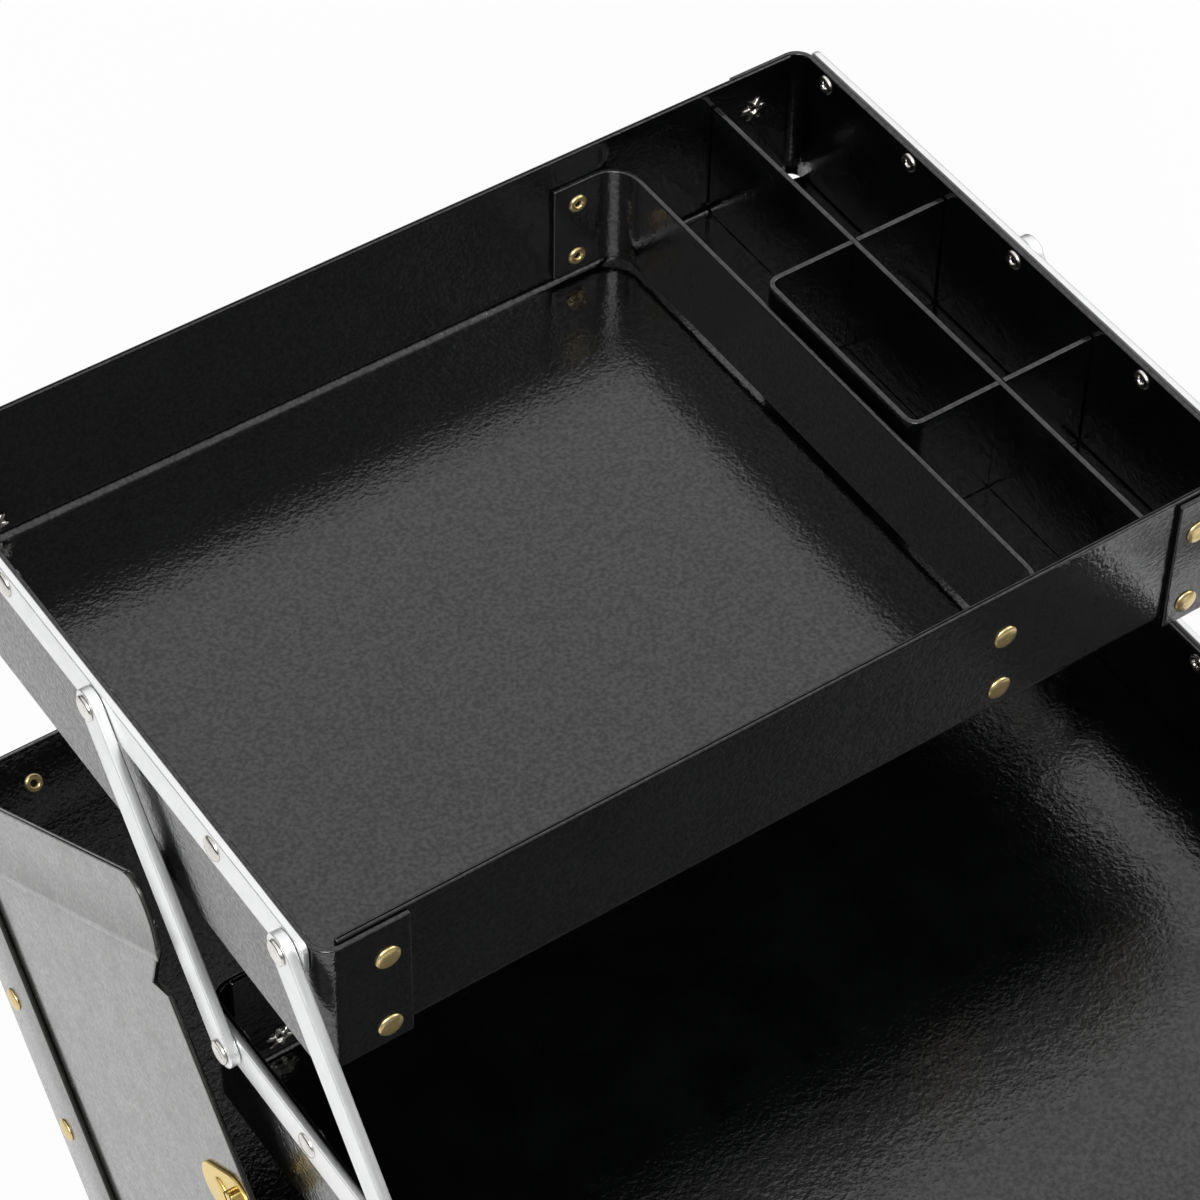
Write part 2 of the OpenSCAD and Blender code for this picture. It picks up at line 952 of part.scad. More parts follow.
// The latch keeper: a plate with round ends, its own rivet and a raised slotted tab at the rim.
module keeper(side) {
  color(brass)
    lid_pose() {
      translate([side * (body_x + latch_t / 2), latch_y, (keeper_low + keeper_high) / 2])
        rotate([90, 0, 90])
          linear_extrude(height = latch_t, center = true)
            difference() {
              rotate([0, 0, 90])
                stadium(keeper_high - keeper_low, keeper_w);
              translate([0, keeper_rivet_z - (keeper_low + keeper_high) / 2])
                circle(r = shank_r + rivet_fit, $fn = round_fn);
            }
      end_spots(side, body_x + latch_t, [latch_y], keeper_rivet_z) rivet(latch_t + board);
      difference() {
        translate([side * (body_x + latch_t + 1.5), latch_y, keeper_low + 4])
          cube([3, 9, 5], center = true);
        translate([side * (body_x + latch_t + 1.5), latch_y, keeper_low + 4])
          cube([1.4, 12, 2.4], center = true);
      }
    }
}
module keeper_left() {
  keeper(-1);
}
module keeper_right() {
  keeper(1);
}

// The latch on the body's end: a leaf with two knuckles, a pin and a hasp that hangs down.
module latch_leaf(side) {
  color(brass)
    translate([0, latch_y, 0]) {
      translate([side * (body_x + latch_t / 2), 0, latch_axis_z])
        cube([latch_t, latch_w, latch_leaf_h], center = true);
      for (s = [-1, 1]) {
        translate([side * latch_axis_x, s * latch_third, latch_axis_z])
          rotate([90, 0, 0])
            linear_extrude(height = latch_third - 2 * latch_side_gap, center = true)
              difference() {
                union() {
                  circle(r = latch_knuckle_r, $fn = round_fn);
                  translate([side < 0 ? 0 : latch_t / 2 + body_x - latch_axis_x, -latch_knuckle_r])
                    square([latch_axis_x - body_x - latch_t / 2, 2 * latch_knuckle_r]);
                }
                circle(r = latch_pin_r + pin_fit, $fn = round_fn);
              }
      }
    }
}
module latch_leaf_left() {
  latch_leaf(-1);
}
module latch_leaf_right() {
  latch_leaf(1);
}
module latch_pins() {
  color(alloy)
    for (side = [-1, 1]) {
      translate([side * latch_axis_x, latch_y, latch_axis_z])
        rotate([90, 0, 0])
          cylinder(r = latch_pin_r, h = latch_w + 0.6, center = true, $fn = round_fn);
    }
}
module latch_hasp(side) {
  hasp_x = latch_axis_x + latch_knuckle_r - latch_t;
  color(brass)
    translate([0, latch_y, latch_axis_z])
      difference() {
        union() {
          translate([side * latch_axis_x, 0, 0])
            rotate([90, 0, 0])
              cylinder(r = latch_knuckle_r, h = latch_third - 2 * latch_side_gap, center = true, $fn = round_fn);
          translate([side * (hasp_x + latch_t / 2), 0, -3])
            cube([latch_t, latch_third - 2 * latch_side_gap, 6], center = true);
          translate([side * (hasp_x + latch_t / 2), 0, -hasp_len / 2 - 2.5])
            rotate([90, 0, 90])
              linear_extrude(height = latch_t, center = true)
                difference() {
                  rotate([0, 0, 90])
                    stadium(hasp_len, latch_w);
                  translate([0, -hasp_len / 2 + 10])
                    square([10, 6], center = true);
                }
        }
        translate([side * latch_axis_x, 0, 0])
          rotate([90, 0, 0])
            cylinder(r = latch_pin_r + pin_fit, h = latch_w, center = true, $fn = round_fn);
      }
}
module latch_hasp_left() {
  latch_hasp(-1);
}
module latch_hasp_right() {
  latch_hasp(1);
}

body_shell();
body_end_left();
body_end_right();
body_corner_rivets();
body_rail_left();
body_rail_right();
body_rail_rivets();
body_pivot_pins();
body_hinge_leaves();
hinge_pins();
latch_leaf_left();
latch_leaf_right();
latch_pins();
lower_link_left_rear();
lower_link_left_front();
lower_link_right_rear();
lower_link_right_front();
lower_tray_shell();
lower_end_left();
lower_end_right();
lower_corner_rivets();
lower_rail_left();
lower_rail_right();
lower_rail_rivets();
lower_bracket_left();
lower_bracket_right();
lower_bracket_pins();
lower_rail_pins();
upper_link_left_rear();
upper_link_left_front();
upper_link_right_rear();
upper_link_right_front();
upper_tray_shell();
upper_end_left();
upper_end_right();
upper_corner_rivets();
upper_bar_left();
upper_bar_right();
upper_bar_rivets();
upper_bar_pins();
partition();
partition_rivets();
cell_insert();
long_divider();
lid_hood();
lid_lip();
lid_cheek_left();
lid_cheek_right();
lid_band_left();
lid_band_right();
lid_rivets();
keeper_left();
keeper_right();
lid_hinge_leaves();
latch_hasp_left();
latch_hasp_right();
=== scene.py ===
"""Looks of an open shoe care box: folded fibre boards, rivets, flat links, latches, light and camera.

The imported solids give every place. The boards, rivets, links and plates that show are made again here
as smooth surfaces with round edges, each in the place of its solid. Sizes are in millimetres until a
piece becomes a mesh.
"""

import logging
import math
from dataclasses import dataclass, field
from enum import Enum
from typing import Any, Dict, List, Optional, Sequence, Tuple, Union

import bpy
import numpy as np
from mathutils import Matrix, Vector


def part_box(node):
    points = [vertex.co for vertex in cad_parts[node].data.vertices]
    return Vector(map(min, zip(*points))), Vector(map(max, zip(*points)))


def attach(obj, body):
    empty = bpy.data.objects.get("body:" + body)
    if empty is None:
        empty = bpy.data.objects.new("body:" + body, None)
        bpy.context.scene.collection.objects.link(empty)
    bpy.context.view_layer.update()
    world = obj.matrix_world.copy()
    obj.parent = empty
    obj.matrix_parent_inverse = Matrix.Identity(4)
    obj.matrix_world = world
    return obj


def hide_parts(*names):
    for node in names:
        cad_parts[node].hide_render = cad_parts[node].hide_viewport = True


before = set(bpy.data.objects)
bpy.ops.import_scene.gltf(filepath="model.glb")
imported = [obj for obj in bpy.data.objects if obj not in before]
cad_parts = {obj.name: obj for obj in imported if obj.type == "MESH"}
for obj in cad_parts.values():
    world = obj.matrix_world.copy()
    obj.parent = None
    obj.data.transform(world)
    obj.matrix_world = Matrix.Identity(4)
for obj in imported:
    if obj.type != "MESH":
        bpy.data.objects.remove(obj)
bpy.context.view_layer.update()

LOG = logging.getLogger("shoe_care_box")
MM = 0.001
TINY = 1e-12
STEP = (-0.02, 0.02)
SIDES = ((-1, "left"), (1, "right"))
WHITE = (1, 1, 1, 1)
Array = np.ndarray
Triple = Tuple[float, float, float]


# Shapes


@dataclass
class Shape:
    """Points and faces of a surface, in millimetres.

    flat_faces holds the places in faces of the ones that are shaded flat, such as caps.
    """

    points: Array
    faces: List[Tuple[int, ...]]
    flat_faces: List[int] = field(default_factory=list)

    def moved(self, turn: Array, shift: Sequence[float] = (0, 0, 0)) -> "Shape":
        """Turns and shifts the shape.

        Args:
            turn: a 3 by 3 matrix that multiplies each point.
            shift: what is added after the turn.

        Returns:
            A new shape, its faces turned round where the matrix mirrors.
        """
        points = self.points @ np.asarray(turn, float).T + np.asarray(shift, float)
        mirrored = np.linalg.det(turn) < 0
        faces = [f[::-1] for f in self.faces] if mirrored else list(self.faces)
        return Shape(points, faces, list(self.flat_faces))


def joined(shapes: Sequence[Shape]) -> Shape:
    """Puts several shapes into one, without welding them.

    Args:
        shapes: the shapes, in order.

    Returns:
        One shape that holds them all.
    """
    starts = np.cumsum([0] + [len(s.points) for s in shapes])
    firsts = np.cumsum([0] + [len(s.faces) for s in shapes])
    faces = [tuple(int(i) + int(b) for i in f) for s, b in zip(shapes, starts) for f in s.faces]
    flats = [int(i + b) for s, b in zip(shapes, firsts) for i in s.flat_faces]
    return Shape(np.concatenate([s.points for s in shapes]), faces, flats)


def units(rows: Array) -> Array:
    """Each row at unit length."""
    return rows / (np.linalg.norm(rows, axis=1, keepdims=True) + TINY)


def rounded_path(corners: Sequence[Sequence[float]], radii: Sequence[float], closed: bool,
                 steps: int = 6, support: float = 0.7) -> Array:
    """A polyline whose corners are arcs.

    Each corner with radius r is cut back by r / tan(half its angle) on both sides, and an arc about the
    point on the corner's bisector joins the cuts. A support point lies a little outside each end of an
    arc, so that smooth shading stays on the arc.

    Args:
        corners: the corner points in order.
        radii: a radius for each corner, where 0 leaves the corner sharp.
        closed: whether the last corner joins the first.
        steps: pieces in an arc.
        support: distance of the support points from the arc.

    Returns:
        The points as an array of two columns.
    """
    pts = np.asarray(corners, float)
    rad = np.asarray(radii, float)
    before = units(np.roll(pts, 1, axis=0) - pts)
    after = units(np.roll(pts, -1, axis=0) - pts)
    half = np.arccos(np.clip((before * after).sum(1), -1, 1)) / 2
    cut = rad / np.maximum(np.tan(half), 1e-6)
    centre = pts + units(before + after) * (rad / np.maximum(np.sin(half), 1e-6))[:, None]
    first = pts + before * cut[:, None] - centre
    turn_sign = np.sign(before[:, 0] * after[:, 1] - before[:, 1] * after[:, 0])
    sweep = -turn_sign * (np.pi - 2 * half)
    share = np.linspace(0, 1, steps + 1)
    angle = np.arctan2(first[:, 1], first[:, 0])[:, None] + sweep[:, None] * share
    arc = centre[:, None] + rad[:, None, None] * np.stack([np.cos(angle), np.sin(angle)], -1)
    lead = pts + before * (cut + support)[:, None]
    tail = pts + after * (cut + support)[:, None]
    rows: List[Array] = []
    for i in range(len(pts)):
        is_end = not closed and i in (0, len(pts) - 1)
        if rad[i] <= 0 or is_end:
            rows.append(pts[i:i + 1])
        else:
            rows.append(np.concatenate([lead[i:i + 1], arc[i], tail[i:i + 1]]))
    return np.concatenate(rows)


def rectangle(half_x: float, half_y: float, radius: float, steps: int = 6) -> Array:
    """A rectangle about the origin with round corners.

    Args:
        half_x: half its length.
        half_y: half its height.
        radius: radius of its corners.
        steps: pieces in a corner.

    Returns:
        The closed outline, counter-clockwise.
    """
    corners = [[-half_x, -half_y], [half_x, -half_y], [half_x, half_y], [-half_x, half_y]]
    return rounded_path(corners, [radius] * 4, True, steps)


def with_stops(path: Array, axis: int, marks: Sequence[float], offsets: Sequence[float] = STEP) -> Array:
    """Adds points to a path where one of its columns passes a mark.

    Args:
        path: the points of the path.
        axis: the column.
        marks: the values that it passes.
        offsets: distances along the path from the crossing at which a point goes in.

    Returns:
        The path with the points put in, in order along it.
    """
    run = np.concatenate([[0], np.cumsum(np.linalg.norm(np.diff(path, axis=0), axis=1))]).round(5)
    found = [run]
    for mark in marks:
        column = path[:, axis] - mark
        at = np.nonzero(np.sign(column[:-1]) * np.sign(column[1:]) < 0)[0]
        part = column[at] / (column[at] - column[at + 1])
        place = run[at] + part * (run[at + 1] - run[at])
        found.extend(place + o for o in offsets)
    s = np.unique(np.round(np.concatenate(found), 5))
    s = s[(s >= 0) & (s <= run[-1])]
    return np.stack([np.interp(s, run, path[:, 0]), np.interp(s, run, path[:, 1])], 1)


def grid_faces(rows: int, around: int, flip: bool = False) -> List[Tuple[int, ...]]:
    """Four-sided faces between rows of points that each run once round.

    Args:
        rows: how many rows.
        around: points in a row.
        flip: whether the faces look the other way.

    Returns:
        The faces.
    """
    i, j = np.meshgrid(np.arange(rows - 1) * around, np.arange(around), indexing="ij")
    k = (j + 1) % around
    quads = np.stack([i + j, i + around + j, i + around + k, i + k], -1).reshape(-1, 4)
    order = [0, 3, 2, 1] if flip else [0, 1, 2, 3]
    return [tuple(q) for q in quads[:, order].tolist()]


def capped(points: Array, flip: bool = False) -> Shape:
    """Rows of points that each run once round, closed by a flat cap at both ends.

    Args:
        points: rows by points in a row by three.
        flip: whether the faces look the other way.

    Returns:
        The shape.
    """
    rows, around = points.shape[:2]
    faces = grid_faces(rows, around, flip)
    first = tuple(range(around))
    last = tuple(range((rows - 1) * around, rows * around))
    caps = [first[::-1], last] if flip else [first, last[::-1]]
    return Shape(points.reshape(-1, 3), faces + caps, [len(faces), len(faces) + 1])


def folded_board(path: Array, low: Array, high: Array, thick: float, edge: float = 0.5,
                 steps: int = 4) -> Shape:
    """A bent board as one closed surface.

    The board's middle line is the path. At each of its points a round-cornered rectangle stands across
    it, as thick as the board, from low to high. The surface is that rectangle carried along the path,
    P(s, t) = path(s) + normal(s) a(t) + up h(s, t), and it shrinks over the last half millimetre at
    both ends.

    Args:
        path: points of the middle line, two columns.
        low: the lower edge at each point.
        high: the upper edge at each point.
        thick: the board's thickness.
        edge: radius of the round along all edges.
        steps: pieces in that round.

    Returns:
        The shape, with the path in its first two columns and the height in the third.
    """
    end_support, side_support = 2.2 * edge, 2.4 * edge
    phi = np.linspace(0, np.pi / 2, steps + 1)
    bend = edge * (1 - np.cos(phi))
    sink = edge * (1 - np.sin(phi))
    reach = np.append(bend, end_support)
    slim = np.append(sink, 0.0)
    first, last = units(np.stack([path[1] - path[0], path[-2] - path[-1]]))
    start = path[0] + first * reach[:, None]
    finish = path[-1] + last * reach[::-1, None]
    line = np.concatenate([start, path[1:-1], finish])
    shrink = np.concatenate([slim, np.zeros(len(path) - 2), slim[::-1]])[:, None]
    copies = [len(reach)] + [1] * (len(path) - 2) + [len(reach)]
    lows = np.repeat(low, copies)[:, None]
    highs = np.repeat(high, copies)[:, None]
    seg = units(np.diff(line, axis=0))
    ahead = units(np.concatenate([seg[:1], seg[:-1] + seg[1:], seg[-1:]]))
    stretch = 1 / np.maximum((ahead * np.concatenate([seg[:1], seg])).sum(1), 0.5)
    normal = np.stack([ahead[:, 1], -ahead[:, 0]], 1) * stretch[:, None]
    quarter = np.stack([np.append(bend[::-1], 0.0), np.append(sink[::-1], side_support)])
    back, drop = np.concatenate([quarter, quarter[:, ::-1], quarter, quarter[:, ::-1]], 1)
    side = np.repeat([1, 1, -1, -1], quarter.shape[1])
    top = np.repeat([False, True, True, False], quarter.shape[1])
    away = side * (thick / 2 - shrink - back)
    points = np.empty((*away.shape, 3))
    points[..., :2] = line[:, None] + normal[:, None] * away[..., None]
    points[..., 2] = np.where(top, highs - shrink - drop, lows + shrink + drop)
    return capped(points)


def plate(outline: Array, low: float, high: float, edge: float = 0.45, steps: int = 4) -> Shape:
    """A flat plate with round edges.

    The outline is drawn in along its own normals by edge (1 - sin t) at a height of edge (1 - cos t)
    from each face, with t from 0 to a quarter turn, and the two faces close it.

    Args:
        outline: closed outline, counter-clockwise, two columns.
        low: height of the lower face.
        high: height of the upper face.
        edge: radius of the round.
        steps: pieces in that round.

    Returns:
        The shape, with the outline in its first two columns.
    """
    seg = units(np.roll(outline, -1, axis=0) - outline)
    out = np.stack([seg[:, 1], -seg[:, 0]], 1)
    prior = np.roll(out, 1, axis=0)
    miter = (out + prior) / np.maximum(1 + (out * prior).sum(1), 0.3)[:, None]
    phi = np.linspace(0, np.pi / 2, steps + 1)
    sink = edge * (1 - np.sin(phi))
    lift = edge * (1 - np.cos(phi))
    inset = np.concatenate([sink, sink[::-1]])
    heights = np.concatenate([low + lift, high - lift[::-1]])[:, None, None]
    rings = outline - inset[:, None, None] * miter
    return capped(np.concatenate([rings, np.broadcast_to(heights, (*rings.shape[:2], 1))], -1), True)


def turned(profile: Array, around: int = 32, lobe: Optional[Array] = None, lobes: int = 0,
           twist: float = 0.0) -> Shape:
    """A shape of revolution about the third axis, with a point at each end.

    The profile's radius r and height z are carried round by the angle t. With lobes, the radius is
    scaled by 1 + lobe(row) cos(lobes t + twist), which makes a splayed tail.

    Args:
        profile: rows of radius and height, from the top point to the lowest one; both ends have radius 0.
        around: points in a turn.
        lobe: depth of the lobes for each inner row.
        lobes: how many lobes.
        twist: phase of the lobes.

    Returns:
        The shape.
    """
    inner = profile[1:-1]
    t = np.linspace(0, 2 * np.pi, around, endpoint=False)
    depth = np.zeros(len(inner)) if lobe is None else np.asarray(lobe, float)
    radius = inner[:, :1] * (1 + depth[:, None] * np.cos(lobes * t + twist))
    height = np.broadcast_to(inner[:, 1:], radius.shape)
    ring = np.stack([radius * np.cos(t), radius * np.sin(t), height], -1)
    points = np.concatenate([ring.reshape(-1, 3), [[0, 0, profile[0, 1]], [0, 0, profile[-1, 1]]]])
    peak = len(inner) * around
    rim = np.arange(around)
    following = (rim + 1) % around
    top = np.stack([np.full(around, peak), rim, following], 1)
    low = np.stack([np.full(around, peak + 1), peak - around + following, peak - around + rim], 1)
    tips = [tuple(f) for f in np.concatenate([top, low]).tolist()]
    return Shape(points, grid_faces(len(inner), around) + tips)


class Facing(Enum):
    """The way that a rivet or plate made along the third axis looks."""

    LEFT = ((0, 0, -1), (0, -1, 0), (-1, 0, 0))
    RIGHT = ((0, 0, 1), (0, 1, 0), (-1, 0, 0))
    FRONT = ((1, 0, 0), (0, 0, -1), (0, 1, 0))
    BACK = ((-1, 0, 0), (0, 0, 1), (0, 1, 0))
    UP = ((1, 0, 0), (0, 1, 0), (0, 0, 1))

    @property
    def turn(self) -> Array:
        """The 3 by 3 matrix that turns the third axis that way."""
        return np.array(self.value, float)


ALONG_X = np.array([[0, 0, 1], [1, 0, 0], [0, 1, 0]], float)
UPRIGHT = np.eye(3)
Place = Tuple[Facing, Array]


def mirrored_to(side: int) -> Array:
    """The matrix that leaves the right side as it is and mirrors to the left for -1."""
    return np.diag([side, 1, 1])


def set_at(places: Sequence[Place], shape: Shape, lift: float = 0.0, flip: bool = False) -> Shape:
    """Copies a shape to each place.

    Args:
        places: facing and point of each copy.
        shape: the shape.
        lift: distance from the point along the facing.
        flip: whether the copy looks the other way, into the board.

    Returns:
        All copies as one shape.
    """
    over = np.diag([1, -1, -1]) if flip else UPRIGHT
    return joined([shape.moved(way.turn @ over, point + way.turn[:, 2] * lift) for way, point in places])


# Finishes


def fill(tree: bpy.types.NodeTree, target: bpy.types.Node, inputs: Dict[Union[str, int], Any]) -> None:
    """Fills a node's inputs.

    Args:
        tree: the node tree.
        target: the node.
        inputs: for an input's name or number, a socket to link or a value to set on it.
    """
    for key, value in inputs.items():
        if isinstance(value, bpy.types.NodeSocket):
            tree.links.new(value, target.inputs[key])
        else:
            target.inputs[key].default_value = value


def add_node(tree: bpy.types.NodeTree, kind: str, inputs: Dict[Union[str, int], Any],
             operation: Optional[str] = None) -> bpy.types.Node:
    """Adds a node.

    Args:
        tree: the node tree.
        kind: the node's type after its ShaderNode prefix.
        inputs: what goes to its inputs, as in fill.
        operation: what a math node does.

    Returns:
        The node.
    """
    made = tree.nodes.new(f"ShaderNode{kind}")
    if operation is not None:
        made.operation = operation
    fill(tree, made, inputs)
    return made


def noise(tree: bpy.types.NodeTree, scale: float, detail: float, rough: float,
          stretch: Triple = (1, 1, 1)) -> bpy.types.NodeSocket:
    """A noise on the piece's own coordinates.

    Args:
        tree: the node tree.
        scale: repeats in a metre.
        detail: octaves of finer noise.
        rough: weight of the finer octaves.
        stretch: scale of each axis.

    Returns:
        The noise's value socket.
    """
    coord = add_node(tree, "TexCoord", {})
    mapping = add_node(tree, "Mapping", {"Scale": stretch, "Vector": coord.outputs["Object"]})
    made = add_node(tree, "TexNoise", {"Scale": scale, "Detail": detail, "Roughness": rough,
                                       "Vector": mapping.outputs["Vector"]})
    return made.outputs["Fac"]


def ramp(tree: bpy.types.NodeTree, source: bpy.types.NodeSocket, low: Triple, high: Triple,
         start: float, end: float) -> bpy.types.NodeSocket:
    """A colour ramp from low to high over a stretch of a value.

    Args:
        tree: the node tree.
        source: the value.
        low: colour up to start.
        high: colour from end.
        start: where the change starts.
        end: where it ends.

    Returns:
        The ramp's colour socket.
    """
    made = add_node(tree, "ValToRGB", {"Fac": source})
    for element, place, colour in zip(made.color_ramp.elements, (start, end), (low, high)):
        element.position = place
        element.color = (*colour, 1)
    return made.outputs["Color"]


def grey_ramp(tree: bpy.types.NodeTree, source: bpy.types.NodeSocket, levels: Tuple[float, float],
              start: float, end: float) -> bpy.types.NodeSocket:
    """A ramp between two grey levels; its arguments are those of ramp, with a level for each colour."""
    return ramp(tree, source, (levels[0],) * 3, (levels[1],) * 3, start, end)


def bumped(tree: bpy.types.NodeTree, shader: bpy.types.Node,
           layers: Sequence[Tuple[bpy.types.NodeSocket, float, float]]) -> None:
    """Chains bumps into a shader's normals.

    Args:
        tree: the node tree.
        shader: the shader that takes the normal.
        layers: value, strength and depth in metres of each bump.
    """
    last: Dict[Union[str, int], Any] = {}
    for value, strength, depth in layers:
        made = add_node(tree, "Bump", {"Strength": strength, "Distance": depth, "Height": value, **last})
        last = {"Normal": made.outputs["Normal"]}
    fill(tree, shader, {**last, "Coat Normal": last["Normal"]})


@dataclass(frozen=True)
class Finish:
    """A finish that becomes one material for a slot of the record; each kind fills in its own nodes."""

    name: str
    slot: str

    def nodes(self, tree: bpy.types.NodeTree, shader: bpy.types.Node) -> None:
        """Adds the finish's nodes.

        Args:
            tree: the material's node tree.
            shader: its principled shader.
        """
        raise NotImplementedError

    def material(self) -> bpy.types.Material:
        """The finish's material, made once."""
        found = bpy.data.materials.get(self.name)
        if found is not None:
            return found
        made = bpy.data.materials.new(self.name)
        made.use_nodes = True
        self.nodes(made.node_tree, made.node_tree.nodes["Principled BSDF"])
        return made


@dataclass(frozen=True)
class FibreBoard(Finish):
    """Lacquered black fibre board: a fine pebble over long soft waves, with a gloss that varies a little."""

    dark: Triple = (0.0007, 0.0008, 0.0009)
    light: Triple = (0.0022, 0.0024, 0.0026)
    gloss: Tuple[float, float] = (0.18, 0.3)
    pebble: float = 0.34
    ior: float = 1.46
    tint: Tuple[float, ...] = (0.97, 1, 0.92, 1)
    lacquer: float = 0.12
    lacquer_ior: float = 1.5
    under: float = 0.5
    sheen: Tuple[float, float] = (0.62, 1.0)

    def nodes(self, tree: bpy.types.NodeTree, shader: bpy.types.Node) -> None:
        """Adds colour, gloss, pebble and waves.

        Args:
            tree: the material's node tree.
            shader: its principled shader.
        """
        broad = noise(tree, 38, 5, 0.62)
        soft = noise(tree, 120, 4, 0.6)
        fine = noise(tree, 820, 2.5, 0.55)
        mid = noise(tree, 300, 2, 0.5)
        wave = noise(tree, 26, 2, 0.45)
        fill(tree, shader, {
            "Base Color": ramp(tree, broad, self.dark, self.light, 0.35, 0.68),
            "Roughness": grey_ramp(tree, soft, self.gloss, 0.32, 0.7),
            "Coat Weight": grey_ramp(tree, fine, self.sheen, 0.36, 0.64),
            "IOR": self.ior,
            "Specular Tint": self.tint,
            "Specular IOR Level": self.under,
            "Coat Roughness": self.lacquer,
            "Coat IOR": self.lacquer_ior,
        })
        layers = [(wave, 0.22, 0.0009), (mid, 0.6 * self.pebble, 0.0004), (fine, self.pebble, 0.00028)]
        bumped(tree, shader, layers)


@dataclass(frozen=True)
class Metal(Finish):
    """A metal with a drawn or worn surface."""

    colour: Triple = (0.8, 0.8, 0.8)
    dull: Triple = (0.6, 0.6, 0.6)
    gloss: Tuple[float, float] = (0.2, 0.35)
    grain: float = 400
    stretch: Triple = (1, 1, 1)
    depth: float = 0.12

    def nodes(self, tree: bpy.types.NodeTree, shader: bpy.types.Node) -> None:
        """Adds colour, gloss and grain.

        Args:
            tree: the material's node tree.
            shader: its principled shader.
        """
        patch = noise(tree, 160, 4, 0.6)
        drawn = noise(tree, self.grain, 3, 0.55, self.stretch)
        fill(tree, shader, {
            "Metallic": 1.0,
            "Base Color": ramp(tree, patch, self.dull, self.colour, 0.3, 0.62),
            "Roughness": grey_ramp(tree, drawn, self.gloss, 0.3, 0.7),
        })
        bumped(tree, shader, [(drawn, self.depth, 0.00008)])


BOARD = FibreBoard("black_fibre_board", "fibre_board", lacquer_ior=1.74, under=0.08)
# The lid's cheeks and bands take a copy of the black board whose lighter upper colour is painted sheen: it
# stands in for the bright reflection of the pale floor on the cheeks, while its smoother pebble and gloss are
# the board's own.
CHEEK_BOARD_PAINTED_SHEEN = FibreBoard("black_fibre_board_lid_painted_sheen", "fibre_board", light=(0.012, 0.012, 0.0115),
                         gloss=(0.2, 0.34), ior=1.6, pebble=0.08)
ALLOY = Metal("bright_alloy_strip", "alloy", colour=(0.93, 0.935, 0.935), dull=(0.87, 0.875, 0.875),
              gloss=(0.36, 0.46), grain=900, stretch=(1, 0.06, 0.06), depth=0.02)
RIVET = Metal("rivet_brass", "rivet_brass", colour=(0.96, 0.87, 0.62), dull=(0.86, 0.74, 0.47),
              gloss=(0.05, 0.12))
TAIL = Metal("tail_tin", "rivet_brass", colour=(0.82, 0.8, 0.76), dull=(0.6, 0.58, 0.53),
             gloss=(0.14, 0.34))
LATCH = Metal("latch_brass", "latch_brass", colour=(0.96, 0.88, 0.68), dull=(0.9, 0.8, 0.57),
              gloss=(0.1, 0.22))
STEEL = Metal("pin_steel", "pin_steel", colour=(0.66, 0.66, 0.66), dull=(0.5, 0.5, 0.5))


# Pieces


@dataclass
class Maker:
    """Turns shapes into pieces that ride on the solids' bodies.

    sharp is the angle in degrees above which an edge stays sharp.
    """

    sharp: float = 38.0
    made: List[str] = field(default_factory=list)

    def piece(self, name: str, shape: Shape, finish: Finish, body: str, *nodes: str) -> None:
        """Makes a piece from a shape that is already in its place.

        Args:
            name: the piece's name.
            shape: its surface, in millimetres, in the box's own frame.
            finish: its finish, which names the record's material slot.
            body: the body that it rides on.
            nodes: the solids that it stands for.
        """
        mesh = bpy.data.meshes.new(name)
        mesh.from_pydata((shape.points * MM).tolist(), [], shape.faces)
        smooth = np.ones(len(mesh.polygons), bool)
        smooth[shape.flat_faces] = False
        mesh.polygons.foreach_set("use_smooth", smooth)
        mesh.materials.append(finish.material())
        mesh.update()
        mesh.set_sharp_from_angle(angle=math.radians(self.sharp))
        made = bpy.data.objects.new(name, mesh)
        bpy.context.scene.collection.objects.link(made)
        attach(made, body)
        if nodes:
            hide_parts(*nodes)
        self.made.append(name)
        LOG.info("%s: %d faces on %s", name, len(mesh.polygons), body)

    def dress(self, finish: Finish, *nodes: str) -> None:
        """Gives solids that stay in view a finish.

        Args:
            finish: the finish.
            nodes: the solids' names.
        """
        for name in nodes:
            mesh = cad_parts[name].data
            mesh.materials.clear()
            mesh.materials.append(finish.material())
            LOG.info("%s: dressed in %s", name, finish.name)


